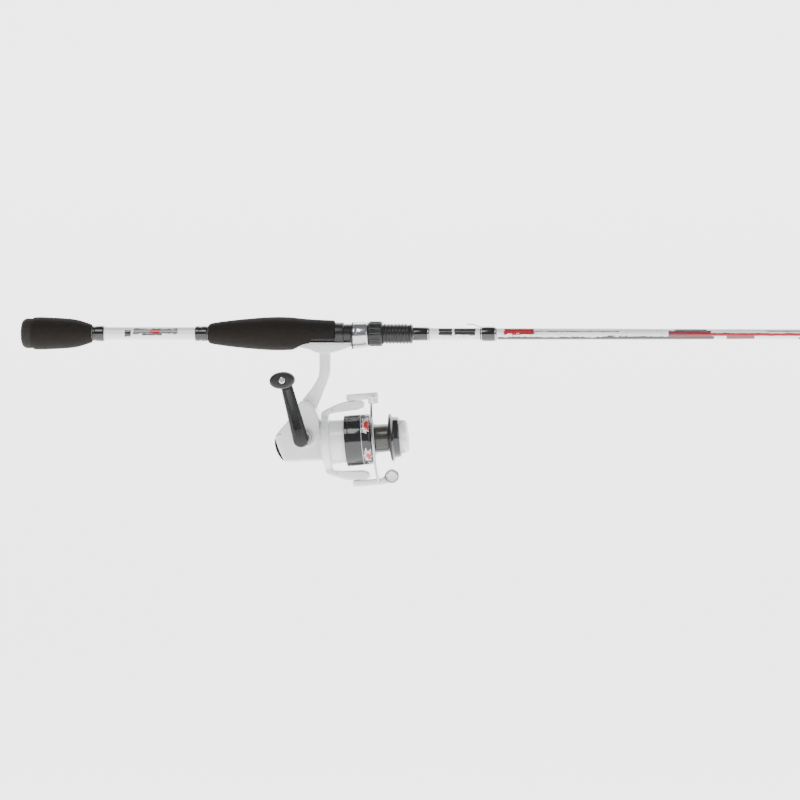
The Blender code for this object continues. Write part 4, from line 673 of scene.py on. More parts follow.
def blended(mesh, voxel, passes, name):
    """Melt joined solids into one moulded skin: an even remesh in metres, then smoothing."""
    obj = bpy.data.objects.new(name, mesh)
    bpy.context.scene.collection.objects.link(obj)
    remesh = obj.modifiers.new("skin", "REMESH")
    remesh.mode = "VOXEL"
    remesh.voxel_size = voxel * MM
    smooth = obj.modifiers.new("soften", "SMOOTH")
    smooth.factor = 0.5
    smooth.iterations = passes
    result = evaluated_mesh(obj)
    bpy.data.objects.remove(obj, do_unlink=True)
    result.shade_smooth()
    return result


# ---------------------------------------------------------------- repeated detail, by geometry nodes

def node_tree(name, inputs):
    """A geometry node tree with named inputs after its geometry socket."""
    tree = bpy.data.node_groups.new(name, "GeometryNodeTree")
    tree.interface.new_socket("Geometry", in_out="INPUT", socket_type="NodeSocketGeometry")
    for label, kind in inputs:
        tree.interface.new_socket(label, in_out="INPUT", socket_type=kind)
    tree.interface.new_socket("Geometry", in_out="OUTPUT", socket_type="NodeSocketGeometry")
    whole = Tree(tree)
    return whole, whole.add("NodeGroupInput").outputs, whole.add("NodeGroupOutput").inputs


def end_tree(whole, made, given, geometry):
    real = whole.add("GeometryNodeRealizeInstances")
    paint = whole.add("GeometryNodeSetMaterial")
    whole.link(geometry, real.inputs[0])
    whole.link(real.outputs[0], paint.inputs["Geometry"])
    whole.link(given["Material"], paint.inputs["Material"])
    whole.link(paint.outputs[0], made["Geometry"])
    return whole.tree


def build_winding_tree():
    """Thread or wire wound round the X axis: an even spiral swept by a round section."""
    whole, given, made = node_tree("winding", [
        ("Turns", "NodeSocketFloat"), ("Start Radius", "NodeSocketFloat"), ("End Radius", "NodeSocketFloat"),
        ("Length", "NodeSocketFloat"), ("Thickness", "NodeSocketFloat"), ("Steps", "NodeSocketInt"),
        ("Sides", "NodeSocketInt"), ("Material", "NodeSocketMaterial")])
    spiral = whole.add("GeometryNodeCurveSpiral")
    whole.link(given["Steps"], spiral.inputs["Resolution"])
    whole.link(given["Turns"], spiral.inputs["Rotations"])
    whole.link(given["Start Radius"], spiral.inputs["Start Radius"])
    whole.link(given["End Radius"], spiral.inputs["End Radius"])
    whole.link(given["Length"], spiral.inputs["Height"])
    section = whole.add("GeometryNodeCurvePrimitiveCircle")
    whole.link(given["Sides"], section.inputs["Resolution"])
    whole.link(given["Thickness"], section.inputs["Radius"])
    sweep = whole.add("GeometryNodeCurveToMesh")
    whole.link(spiral.outputs[0], sweep.inputs["Curve"])
    whole.link(section.outputs[0], sweep.inputs["Profile Curve"])
    sweep.inputs["Fill Caps"].default_value = True
    turn = whole.add("GeometryNodeTransform")
    whole.link(sweep.outputs[0], turn.inputs["Geometry"])
    turn.inputs["Rotation"].default_value = (0.0, math.radians(90.0), 0.0)
    smooth = whole.add("GeometryNodeSetShadeSmooth")
    whole.link(turn.outputs[0], smooth.inputs[0])
    return end_tree(whole, made, given, smooth.outputs[0])


def build_rib_tree():
    """Rounded ribs set evenly round the X axis."""
    whole, given, made = node_tree("rib_ring", [
        ("Count", "NodeSocketInt"), ("Radius", "NodeSocketFloat"), ("Start", "NodeSocketFloat"),
        ("Rib Length", "NodeSocketFloat"), ("Rib Radius", "NodeSocketFloat"), ("Material",
                                                                               "NodeSocketMaterial")])
    circle_node = whole.add("GeometryNodeMeshCircle")
    whole.link(given["Count"], circle_node.inputs["Vertices"])
    whole.link(given["Radius"], circle_node.inputs["Radius"])
    line = whole.add("GeometryNodeCurvePrimitiveLine")
    end = whole.add("ShaderNodeCombineXYZ")
    whole.link(given["Rib Length"], end.inputs["Z"])
    whole.link(end.outputs[0], line.inputs["End"])
    resample = whole.add("GeometryNodeResampleCurve")
    whole.link(line.outputs[0], resample.inputs["Curve"])
    resample.inputs["Count"].default_value = 9
    place = whole.add("GeometryNodeSplineParameter")
    centred = whole.math("SUBTRACT", whole.math("MULTIPLY", place.outputs["Factor"], 2.0), 1.0)
    sixth = whole.math("POWER", whole.math("ABSOLUTE", centred), 6.0)
    share = whole.math("SQRT", whole.math("SUBTRACT", 1.0, whole.math("MULTIPLY", sixth, 0.98)))
    sized = whole.add("GeometryNodeSetCurveRadius")
    whole.link(resample.outputs[0], sized.inputs["Curve"])
    whole.link(share, sized.inputs["Radius"])
    section = whole.add("GeometryNodeCurvePrimitiveCircle")
    section.inputs["Resolution"].default_value = 12
    whole.link(given["Rib Radius"], section.inputs["Radius"])
    sweep = whole.add("GeometryNodeCurveToMesh")
    whole.link(sized.outputs[0], sweep.inputs["Curve"])
    whole.link(section.outputs[0], sweep.inputs["Profile Curve"])
    sweep.inputs["Fill Caps"].default_value = True
    if "Scale" in sweep.inputs:
        whole.link(share, sweep.inputs["Scale"])
    copies = whole.add("GeometryNodeInstanceOnPoints")
    whole.link(circle_node.outputs[0], copies.inputs["Points"])
    whole.link(sweep.outputs[0], copies.inputs["Instance"])
    turn = whole.add("GeometryNodeTransform")
    whole.link(copies.outputs[0], turn.inputs["Geometry"])
    turn.inputs["Rotation"].default_value = (0.0, math.radians(90.0), 0.0)
    shift = whole.add("ShaderNodeCombineXYZ")
    whole.link(given["Start"], shift.inputs["X"])
    whole.link(shift.outputs[0], turn.inputs["Translation"])
    smooth = whole.add("GeometryNodeSetShadeSmooth")
    whole.link(turn.outputs[0], smooth.inputs[0])
    return end_tree(whole, made, given, smooth.outputs[0])


WINDING = build_winding_tree()
RIBS = build_rib_tree()


def grown(name, tree, place, finish, **values):
    """Evaluate one of the trees above with its named inputs; returns a world-space mesh."""
    carrier = bpy.data.objects.new(name, bpy.data.meshes.new(name))
    bpy.context.scene.collection.objects.link(carrier)
    modifier = carrier.modifiers.new("grow", "NODES")
    modifier.node_group = tree
    labels = {label.replace("_", " ").title(): value for label, value in values.items()}
    labels["Material"] = MATERIALS[finish]
    for item in tree.interface.items_tree:
        if item.in_out == "INPUT" and item.name in labels:
            modifier[item.identifier] = labels[item.name]
    mesh = evaluated_mesh(carrier)
    carrier.modifiers.remove(modifier)
    data = carrier.data
    bpy.data.objects.remove(carrier, do_unlink=True)
    bpy.data.meshes.remove(data)
    bm = bmesh.new()
    bm.from_mesh(mesh)
    bpy.data.meshes.remove(mesh)
    return finish_mesh(bm, name, place)


def winding(name, finish, body, place, start, turns, radius, pitch, thickness, steps=24, sides=8,
            replaced=()):
    """A thread, cord or spring wound along X from start."""
    shifted = place @ Matrix.Translation((start, 0.0, 0.0))
    mesh = grown(name, WINDING, shifted, finish, turns=float(turns), start_radius=float(radius),
                 end_radius=float(radius), length=float(turns * pitch), thickness=float(thickness), steps=steps,
                 sides=sides)
    return add_piece(name, mesh, finish, body, replaced)


# ---------------------------------------------------------------- rod

BLANK_TAPER = 0.00245
TAPER_START = 158.0
BLANK_FULL_RADIUS = 5.9
JOINT_X = 850.0
ROD_END = 1676.0
TIP_START_RADIUS = 2.7
TIP_END_RADIUS = 0.9


def blank_radius(x):
    """Outer radius of whichever section is on the outside at x."""
    if x < JOINT_X:
        return BLANK_FULL_RADIUS - BLANK_TAPER * max(0.0, x - TAPER_START)
    return TIP_START_RADIUS + (TIP_END_RADIUS - TIP_START_RADIUS) * (x - JOINT_X) / (ROD_END - JOINT_X)


def turned_piece(name, outline, finish, body="rod_and_reel", replaced=(), place=ROD, steps=96, axis="X",
                 edge=0.25,
                 wave=None):
    return add_piece(name, finish_mesh(lathe(outline, steps, axis, edge, wave), name, place), finish, body,
                     replaced)


def with_bore(shape, bore):
    return shape + [(shape[-1][0], bore), (shape[0][0], bore)]


def add_rear_end():
    bore = BLANK_FULL_RADIUS + 0.3
    cap = [(0.0, 0.0), (0.0, 8.4), (0.5, 8.9), (0.35, 9.8), (1.3, 11.6), (2.6, 12.8), (4.3, 13.45),
           (6.0, 13.6),
           (8.6, 13.55), (8.75, 13.25), (9.15, 13.25), (9.3, 13.55), (10.1, 13.45), (10.1, bore), (4.0, bore),
           (4.0, 0.0)]
    turned_piece("rubber_cap", cap, "rubber", replaced=("butt_cap",), steps=128, edge=0.5)
    knots = [(10.4, 13.7), (11.2, 14.25), (12.8, 14.6), (16.4, 14.75), (24.0, 14.55), (33.3, 14.1),
             (40.0, 13.7),
             (45.9, 13.15), (51.5, 12.15), (56.3, 10.8), (60.0, 9.6), (62.6, 8.7), (63.8, 8.0), (64.3, 7.3)]
    grip = turned_piece("rear_foam", with_bore(curve_points(knots, 5), bore), "foam", replaced=("rear_grip",),
                        steps=160, edge=0.5)
    collar = [(64.6, 6.5), (65.2, 6.75), (66.4, 6.75), (66.8, 6.5), (67.2, 6.9), (72.0, 7.25), (74.2, 7.2),
              (75.2, 6.6), (75.2, bore), (64.6, bore)]
    turned_piece("rear_collar", collar, "collar", replaced=("rear_grip_collar",))
    front = [(157.9, 6.4), (158.8, 6.95), (161.4, 6.95), (161.8, 6.65), (163.4, 6.65), (163.8, 6.95),
             (168.0, 6.95),
             (169.2, 6.5), (169.2, bore), (157.9, bore)]
    turned_piece("front_collar", front, "collar", replaced=("grip_collar",))


def add_blanks():
    """The two tapering sections, each with its own paint; only the butt section carries painted bands."""
    end = JOINT_X
    outer = [(x, blank_radius(x)) for x in (4.3, 60.0, 158.0, 300.0, 450.0, 600.0, 750.0, end - 0.01)]
    inner = [(end - 0.01, 3.0), (end - 75.0, 3.0), (end - 80.0, 3.15), (158.0, 4.7), (4.3, 4.7)]
    butt = turned_piece("butt_section", outer + inner, None, steps=96, edge=0.15, replaced=("butt_blank",))
    tip_outer = [(779.0, 0.0), (779.0, 2.45), (780.0, 2.68), (end, 2.7)]
    tip_outer += [(x, blank_radius(x)) for x in (1000.0, 1200.0, 1400.0, ROD_END - 12.0)]
    tip = turned_piece("tip_section_blank", tip_outer + [(ROD_END - 12.0, 0.0)], None, "tip_section",
                       ("tip_blank",),
                       steps=64, edge=0.1)
    butt.data.materials.append(blank_material("butt_paint", BLANK_FULL_RADIUS,
                                              blank_radius(1000.0 - 151.0), 849.0,
                                              BLANK_MARKS))
    tip.data.materials.append(blank_material("tip_paint", 2.7, 0.9, ROD_END, ()))


def add_main_grip():
    knots = [(169.5, 7.0), (170.1, 8.0), (171.3, 8.9), (174.5, 9.75), (180.0, 10.6), (186.0, 11.4),
             (192.0, 12.15),
             (198.6, 12.85), (210.0, 13.9), (221.0, 14.7), (230.0, 15.08), (240.0, 15.0), (246.4, 14.6),
             (258.3, 13.4), (271.0, 12.6), (281.0, 12.2), (283.4, 11.9), (284.1, 11.2)]
    seat_bore = 9.1
    shape = curve_points(knots, 4)
    grip = lathe(shape + [(284.1, seat_bore), (235.7, seat_bore), (235.7, 6.2), (169.5, 6.2)], 160, "X", 0.5)
    underside = fillet([(244.9, -20.0), (246.4, -14.2), (250.8, -12.0), (255.3, -9.8), (260.3, -8.6),
                        (263.0, -5.2), (266.0, -4.7), (290.0, -4.7), (290.0, -20.0)], 2.4, 6)
    pocket = circle((0.0, 0.0), 13.9, 40, 197.0, 343.0)
    cuts = [("DIFFERENCE", slab(underside, -25.0, 25.0, 0.1)),
            ("DIFFERENCE", slab(pocket, 235.7, 251.5, 0.1, "X")),
            ("DIFFERENCE",
             slab([(250.5, -6.5), (290.0, -6.5), (290.0, 6.5), (250.5, 6.5)], -30.0, -8.0, 0.1, "Z"))]
    piece = add_piece("main_foam", boolean(grip, cuts, ROD), "foam", "rod_and_reel", ("main_grip",))


def add_reel_seat():
    """The moulded seat, its fixed hood under the grip and the coarse thread in front."""
    tube = [(236.0, 8.8), (284.4, 8.8), (284.4, 9.9), (284.9, 10.2), (291.6, 10.2), (292.2, 9.7),
            (292.2, 8.8),
            (315.4, 8.8), (315.8, 8.3), (351.6, 8.3), (352.0, 8.9), (353.6, 8.6), (354.8, 6.4), (354.8, 5.72),
            (236.0, 5.72)]
    hood = circle((0.0, 0.0), 13.6, 48, 200.0, 340.0)
    parts = [("UNION", slab(hood, 236.4, 249.5, 0.3, "X")),
             ("DIFFERENCE",
              slab([(239.2, -11.8), (250.5, -11.8), (250.5, -8.3), (239.2, -8.3)], -7.2, 7.2, 0.2)),
             ("DIFFERENCE",
              slab([(249.0, -20.0), (315.0, -20.0), (315.0, -8.3), (249.0, -8.3)], -20.0, 20.0, 0.1)),
             ("DIFFERENCE", lathe([(230.0, 0.0), (230.0, 5.7), (360.0, 5.7), (360.0, 0.0)], 64))]
    add_piece("seat_tube", boolean(lathe(tube, 96, "X", 0.35), parts, ROD), "seat", "rod_and_reel",
              ("reel_seat",))
    winding("seat_thread", "seat", "rod_and_reel", ROD, 318.6, 10.4, 8.25, 3.1, 0.98, 48, 16)
    crescent = circle((0.0, 0.0), 13.62, 36, 214.0, 326.0)
    hollow = list(reversed(circle((0.0, 0.0), 11.9, 36, 216.0, 324.0)))
    add_piece("seat_rim", finish_mesh(slab(crescent + hollow, 248.4, 250.3, 0.35, "X"), "seat_rim", ROD),
              "rim",
              "rod_and_reel")


def hood_rings(stations, steps=96):
    """Rings in Y and Z at (x, radius, drop) stations."""
    rings = []
    for x, radius, drop in stations:
        rings.append([(x, y, z - drop) for y, z in circle((0.0, 0.0), radius, steps)])
    return rings


def add_hood_and_nut():
    start, end = 300.8, 314.3
    front, back = (12.05, 1.45), (11.35, 0.75)

    def station(x, depth):
        share = (x - start) / (end - start)
        return (x, front[0] + (back[0] - front[0]) * share - depth, front[1] + (back[1] - front[1]) * share)

    outside = [station(start, 0.55), station(start + 0.12, 0.2), station(start + 0.45, 0.02)]
    outside += [station(x, 0.0) for x in (302.0, 304.0)]
    outside += [station(304.35, 0.14), station(304.7, 0.14), station(305.05, 0.0)]
    outside += [station(x, 0.0) for x in (308.0, 312.6)]
    outside += [station(313.4, 0.12), station(314.0, 0.5), station(end, 1.0)]
    inside = [station(end, 1.04), station(start, 1.0)]
    shell = swept(hood_rings(outside + inside), False, True)
    add_piece("metal_hood", finish_mesh(shell, "metal_hood", ROD), "chrome", "hood", ("sliding_hood",))
    # A thin dark line along each side of the hood at mid-height.
    for hand in (-1.0, 1.0):
        line = [(x, hand * station(x, -0.03)[1], -station(x, 0.0)[2]) for x in (301.3, 305.0, 309.0, 313.4)]
        side_line = along_path([(x, y * 0.999, z) for x, y, z in line], 0.12, 8)
        add_piece(f"hood_side_line_{'left' if hand < 0 else 'right'}", finish_mesh(side_line, "side_line", ROD), "seat",
                  "hood")
    lip = [(299.5, 12.2 - 0.3, 1.75), (299.7, 12.2, 1.75), (300.5, 12.2, 1.75), (300.7, 12.0, 1.75),
           (300.7, 11.05, 1.45), (299.5, 11.05, 1.45)]
    add_piece("hood_lip", finish_mesh(swept(hood_rings(lip), False, True), "hood_lip", ROD), "seat", "hood",
              ("hood_liner",))
    nut = [(314.6, 9.5), (314.6, 10.5), (315.1, 11.0), (316.2, 11.3), (317.0, 11.3), (320.8, 11.28),
           (324.6, 11.3),
           (325.4, 11.3), (326.5, 11.0), (327.0, 10.4), (327.0, 9.5)]

    def flute(along, radius, angle):
        if radius < 10.0:
            return 0.0
        fade = min(1.0, max(0.0, (along - 315.6) / 1.2), max(0.0, (326.0 - along) / 1.2))
        return 0.62 * fade * max(0.0, math.cos(16 * angle)) ** 0.6

    turned_piece("fluted_nut", nut, "seat", "nut", ("lock_nut",), steps=256, edge=0.3, wave=flute)


def add_sleeve_and_wraps():
    sleeve = [(355.1, 5.95), (355.7, 6.25), (357.4, 6.35), (362.0, 6.25), (367.6, 6.1), (369.5, 5.85),
              (369.5, 5.75), (355.1, 5.75)]
    turned_piece("taper_sleeve", sleeve, "collar", replaced=("seat_sleeve",), edge=0.2)
    turned_piece("sleeve_band", [(367.9, 6.05), (367.9, 6.2), (368.9, 6.18), (368.9, 6.0)], "silver_band",
                 edge=0.05)
    bore = blank_radius(415.1) + 0.12
    top = blank_radius(415.1)
    winding("keeper_thread", "thread", "rod_and_reel", ROD, 415.5, 50, bore + 0.28, 0.28, 0.16, 24, 6)
    coat = [(415.1, bore), (415.1, top + 0.35), (416.0, top + 0.85), (419.0, top + 1.42), (423.0, top + 1.5),
            (427.5, top + 1.3), (429.4, top + 0.7), (429.9, top + 0.3), (429.9, bore)]
    turned_piece("keeper_binding", coat, "thread", replaced=("keeper_wrap",), edge=0.4)
    for name, x, depth in (("keeper_band_rear", 416.1, 0.98), ("keeper_band_front", 428.5, 1.08)):
        turned_piece(name, [(x, top + 0.4), (x, top + depth), (x + 0.8, top + depth), (x + 0.8, top + 0.4)],
                     "silver_band", edge=0.08)
    wire_z = top + 0.75
    loop = [(424.1, 0.0, wire_z), (417.1, 0.0, wire_z), (413.6, 0.0, wire_z + 0.4),
            (410.1, 0.0, wire_z + 2.2),
            (406.1, 0.0, wire_z + 2.7), (403.1, 0.0, wire_z + 2.5)]
    add_piece("keeper_loop", finish_mesh(along_path(curve_points(loop, 10), 0.45, 16), "keeper_loop", ROD),
              "wire",
              "rod_and_reel", ("hook_keeper",))
    start = 835.5
    base = blank_radius(start)
    coat = [(start, base + 0.05), (start, base + 0.5), (start + 1.4, base + 1.2), (start + 7.0, base + 1.5),
            (start + 12.6, base + 1.2), (start + 14.0, base + 0.45), (start + 14.0, base + 0.05)]
    turned_piece("joint_binding", coat, "thread", replaced=("joint_wrap",), edge=0.4)
    for x in (start + 1.6, start + 11.6):
        turned_piece(f"joint_band_{int(x)}", [(x, base + 0.6), (x, base + 1.34), (x + 0.8, base + 1.36),
                                              (x + 0.8, base + 0.6)], "silver_band", edge=0.08)


def add_guide(name, station, ring_radius, drop, two_feet, body):
    """A wire guide: hoop, legs and feet, ceramic ring, and a varnished thread binding on each foot."""
    surface = blank_radius(station - 30.0) + 0.3
    foot_z = -(surface + 0.4)
    place = ROD @ Matrix.Translation((station, 0.0, 0.0))
    hoop = [(-0.72, ring_radius - 1.5), (-0.75, ring_radius - 0.4), (-0.4, ring_radius), (0.4, ring_radius),
            (0.75, ring_radius - 0.4), (0.72, ring_radius - 1.5)]
    frame_mesh = lathe(hoop, 64, "X", 0.2)
    bmesh.ops.translate(frame_mesh, verts=frame_mesh.verts, vec=(0.0, 0.0, -drop))
    parts = []
    for side in (-1.0, 1.0) if two_feet else (-1.0,):
        toe = side * drop * 0.55
        near, far = sorted((toe, toe + side * 15.0))
        foot = fillet([(near, -0.9), (near, 0.9), (far, 0.9), (far, -0.9)], 0.8, 4)
        parts.append(("UNION", slab(foot, -surface - 0.8, -surface, 0.22, "Z")))
        reach = ring_radius - 0.75
        for hand in (-1.0, 1.0):
            leg = curve_points([(toe + side * 1.3, hand * 0.45, foot_z),
                                (toe * 0.97, hand * 0.25 * reach, foot_z - 0.6),
                                (toe * 0.5, hand * 0.8 * reach, -(drop * 0.62)),
                                (side * 0.2, hand * reach, -drop + 0.37)], 8)
            parts.append(("UNION", along_path(leg, 0.64, 14)))
        low_x = near + (2.0 if side > 0 else 1.0)
        high_x = far - (1.0 if side > 0 else 2.0)
        label = name if not two_feet else f"{name}_{'front' if side > 0 else 'rear'}"
        node = f"{name}_wrap" if not two_feet else f"{name}_wrap_{'front' if side > 0 else 'rear'}"
        outer = surface + 1.2
        coat = [(low_x, surface), (low_x, surface + 0.6), (low_x + 1.0, outer), (low_x + 6.0, outer + 0.35),
                (high_x - 1.0, outer), (high_x, surface + 0.6), (high_x, surface)]
        turned_piece(f"{label}_binding", coat, "thread", body, (node,), place, 48, edge=0.4)
        winding(f"{label}_thread", "thread", body, place, low_x + 0.3, 12, surface + 0.42, 0.3, 0.16, 20, 6)
        winding(f"{label}_thread_end", "thread", body, place, high_x - 3.9, 12, surface + 0.42, 0.3, 0.16,
                20, 6)
    add_piece(f"{name}_wire", boolean(frame_mesh, parts, place), "wire", body, (f"{name}_frame",))
    inner = ring_radius - 1.8
    insert = [(-1.1, inner - 0.9), (-0.9, inner - 0.3), (-0.8, inner), (0.8, inner), (0.9, inner - 0.3),
              (1.1, inner - 0.9), (0.7, inner - 1.25), (0.0, inner - 1.35), (-0.7, inner - 1.25)]
    ring_place = place @ Matrix.Translation((0.0, 0.0, -drop))
    turned_piece(f"{name}_ceramic", insert, "ceramic", body, (f"{name}_ring",), ring_place, 64, edge=0.25)


def add_tip_top():
    start, tube_end = ROD_END - 24.0, ROD_END - 10.5
    bore = blank_radius(start) + 0.3
    tube = lathe([(start, bore), (start, bore + 0.3), (start + 0.5, bore + 0.5), (tube_end - 0.6, bore + 0.5),
                  (tube_end, bore + 0.2), (tube_end, 0.0), (ROD_END - 11.7, 0.0), (ROD_END - 11.7,
                                                                                   bore)], 40, "X", 0.15)
    tilt = Matrix.Translation((ROD_END - 2.6, 0.0, -3.0)) @ Matrix.Rotation(math.radians(20.0), 4, "Y")
    hoop = lathe([(-0.7, 2.7), (-0.7, 3.4), (-0.4, 3.6), (0.4, 3.6), (0.7, 3.4), (0.7, 2.7)], 48, "X", 0.15)
    hoop.transform(tilt)
    parts = [("UNION", hoop)]
    for hand in (-1.0, 1.0):
        leg = curve_points([(tube_end - 5.0, hand * 1.55, -0.6), (tube_end + 2.0, hand * 2.2, -1.2),
                            (ROD_END - 2.6, hand * 3.15, -3.0)], 8)
        parts.append(("UNION", along_path(leg, 0.5, 12)))
    add_piece("tip_top_wire", boolean(tube, parts, ROD), "wire", "tip_section", ("tip_top_frame",))
    insert = [(-0.8, 1.6), (-0.8, 2.2), (-0.5, 2.4), (0.5, 2.4), (0.8, 2.2), (0.8, 1.6), (0.4, 1.5),
              (-0.4, 1.5)]
    turned_piece("tip_ceramic", insert, "ceramic", "tip_section", ("tip_top_ring",), ROD @ tilt, 48,
                 edge=0.15)


# ---------------------------------------------------------------- reel body

GUARD_TOP, GUARD_BOTTOM = Vector((-27.0, 1.0)), Vector((-18.0, -22.0))


def arc(start, end, bulge, steps):
    """An arc standing out to the right of its chord by bulge."""
    start, end = Vector(start), Vector(end)
    chord = end - start
    half = chord.length / 2
    radius = (half * half + bulge * bulge) / (2 * bulge)
    right = Vector((chord.y, -chord.x)).normalized()
    centre = (start + end) / 2 - right * (radius - bulge)
    first = math.atan2(start.y - centre.y, start.x - centre.x)
    sweep = 2 * math.asin(half / radius)
    return [(centre.x + radius * math.cos(first + sweep * i / steps),
             centre.y + radius * math.sin(first + sweep * i / steps)) for i in range(steps + 1)]


def body_outline(front):
    tilt = math.radians(4.5)
    edge = [((front - z * math.sin(tilt)) / math.cos(tilt), z) for z in (15.0, -20.6)]
    return ([edge[0], (9.7, 25.3), (4.0, 32.0), (-4.1, 33.3), (-16.7, 13.8), (-24.7, 4.6)]
            + arc(GUARD_TOP, GUARD_BOTTOM, 1.0, 8) + [edge[1]])


def moved(bm, matrix):
    bm.transform(matrix)
    return bm


SPOOL_IN_CRANK = CRANK.inverted() @ SPOOL


def add_body():
    """Housing, neck, stem and foot as one moulding with soft fillets, then its cuts."""
    outline = fillet(body_outline(14.4), 2.6, 5)
    shell = slab(outline, -16.0, 12.0, 2.6, round_end=False)
    flange = moved(lathe([(14.0, 0.0), (14.0, 20.0), (18.7, 20.0), (18.7, 0.0)], 96, "X", 0.5),
                   SPOOL_IN_CRANK)
    nose = moved(lathe([(17.0, 0.0), (17.0, 9.0), (22.5, 9.0), (22.5, 0.0)], 64, "X", 0.4), SPOOL_IN_CRANK)
    stem_curve = [(-3.0, 20.0), (-3.8, 33.4), (1.9, 40.2), (8.9, 49.4), (11.6, 56.0), (12.2, 62.0),
                  (12.0, 81.8),
                  (22.4, 81.8), (22.2, 62.0), (21.6, 57.0), (19.4, 50.2), (14.8, 38.5), (9.5, 25.6), (6.0,
                                                                                                      18.0)]
    stem = slab(fillet(stem_curve, 3.0, 5), -5.0, 5.0, 2.2)
    foot = foot_shape()
    spine = slab(fillet([(0.5, 30.0), (4.0, 42.0), (12.8, 56.0), (16.0, 74.0), (19.0, 74.0), (19.0, 57.0),
                         (14.5, 44.0), (9.0, 30.0)], 3.0, 4), -5.6, 5.6, 1.6)
    joined = boolean(shell, [("UNION", flange), ("UNION", nose), ("UNION", stem), ("UNION", foot),
                             ("UNION", spine)], Matrix.Scale(MM, 4))
    skin = blended(joined, 0.5, 5, "skin")
    bm = bmesh.new()
    bm.from_mesh(skin)
    bpy.data.meshes.remove(skin)
    bm.transform(Matrix.Scale(1.0 / MM, 4))
    cavity = inset(body_outline(14.4), 2.0)
    cuts = [("DIFFERENCE", slab(cavity, -14.0, 17.0, 0.1)),
            ("DIFFERENCE",
             moved(lathe([(15.6, 0.0), (15.6, 18.6), (17.2, 18.6), (17.2, 0.0)], 64), SPOOL_IN_CRANK)),
            ("DIFFERENCE",
             moved(slab([(5.0, -12.5), (16.5, -12.5), (16.5, 19.0), (5.0, 19.0)], -8.0, 9.0, 0.1),
                                 SPOOL_IN_CRANK)),
            ("DIFFERENCE",
             moved(lathe([(10.0, 0.0), (10.0, 3.9), (18.8, 3.9), (18.8, 7.3), (24.0, 7.3), (24.0, 0.0)],
                                       48), SPOOL_IN_CRANK)),
            ("DIFFERENCE", lathe([(-20.0, 0.0), (-20.0, 4.6), (-13.0, 4.6), (-13.0, 0.0)], 48, "Y")),
            ("DIFFERENCE",
             slab([(-60.0, -30.0), (60.0, -30.0), (60.0, 40.0), (-60.0, 40.0)], 12.0, 20.0, 0.1)),
            ("DIFFERENCE",
             slab([(-60.0, 84.8), (60.0, 84.8), (60.0, 95.0), (-60.0, 95.0)], -20.0, 20.0, 0.1))]
    mesh = boolean(bm, cuts, CRANK)
    mesh.set_sharp_from_angle(angle=math.radians(50.0))
    add_piece("housing", mesh, "white", "rod_and_reel", ("reel_body",))
    boss = [(-15.0, 4.6), (-15.0, 9.2), (-16.3, 9.2), (-16.9, 8.4), (-18.3, 7.9), (-18.75, 7.5), (-19.0, 6.9),
            (-18.95, 6.5), (-18.6, 6.3), (-18.6, 4.6)]
    turned_piece("crank_boss", boss, "white_satin", place=CRANK, steps=96, axis="Y", edge=0.2)
    dark_ring = [(-18.4, 6.3), (-19.25, 6.3), (-19.25, 6.9), (-18.4, 6.9)]
    turned_piece("boss_ring_inner", dark_ring, "black", place=CRANK, steps=96, axis="Y", edge=0.1)
    outer_ring = [(-17.2, 7.5), (-18.5, 7.5), (-18.5, 8.1), (-17.2, 8.1)]
    turned_piece("boss_ring_outer", outer_ring, "black", place=CRANK, steps=96, axis="Y", edge=0.1)


def foot_shape():
    """The foot in crank coordinates: its side profile cut to its rounded plan."""
    side = fillet([(240.2, -8.6), (240.2, -10.0), (251.0, -11.9), (262.0, -14.4), (267.5, -17.0),
                   (282.0, -17.0),
                   (289.0, -15.0), (295.6, -12.7), (299.0, -11.3), (309.0, -10.3), (309.0, -8.6)], 1.2, 4)
    bm = slab([(x - 258.0, z + 93.4) for x, z in side], -6.7, 6.7, 0.1)
    plan = [(239.7, 3.0), (243.0, 5.0), (248.0, 6.0), (255.0, 6.2), (290.0, 6.2), (299.0, 4.6), (306.0, 4.0),
            (309.5, 2.5)]
    plan = fillet(plan + [(x, -y) for x, y in reversed(plan)], 1.0, 3)
    clip = slab([(x - 258.0, y) for x, y in plan], 70.0, 90.0, 0.1, "Z")
    mesh = boolean(bm, [("INTERSECT", clip)], Matrix.Identity(4))
    result = bmesh.new()
    result.from_mesh(mesh)
    bpy.data.meshes.remove(mesh)
    return result


def cross_screw(name, place, body, radius, face, replaced=(), finish="steel", out=-1.0, axis="Y"):
    """A domed screw head with a cross recess; out is the side that it faces along its axis."""
    head = lathe([(face - out * 1.1, 0.0), (face - out * 1.1, radius), (face - out * 0.35, radius),
                  (face, radius * 0.62), (face + out * 0.12, 0.0)], 40, axis, 0.2)
    cuts = []
    for turn in (0.0, 90.0):
        arm = slab([(-radius * 0.62, -radius * 0.13), (radius * 0.62, -radius * 0.13),
                    (radius * 0.62, radius * 0.13), (-radius * 0.62, radius * 0.13)],
                   min(face - out * 0.6, face + out), max(face - out * 0.6, face + out), 0.02, axis)
        bmesh.ops.rotate(arm, verts=arm.verts, cent=(0, 0, 0),
                         matrix=Matrix.Rotation(math.radians(turn + 20), 3, axis))
        cuts.append(("DIFFERENCE", arm))
    add_piece(name, boolean(head, cuts, place), finish, body, replaced)


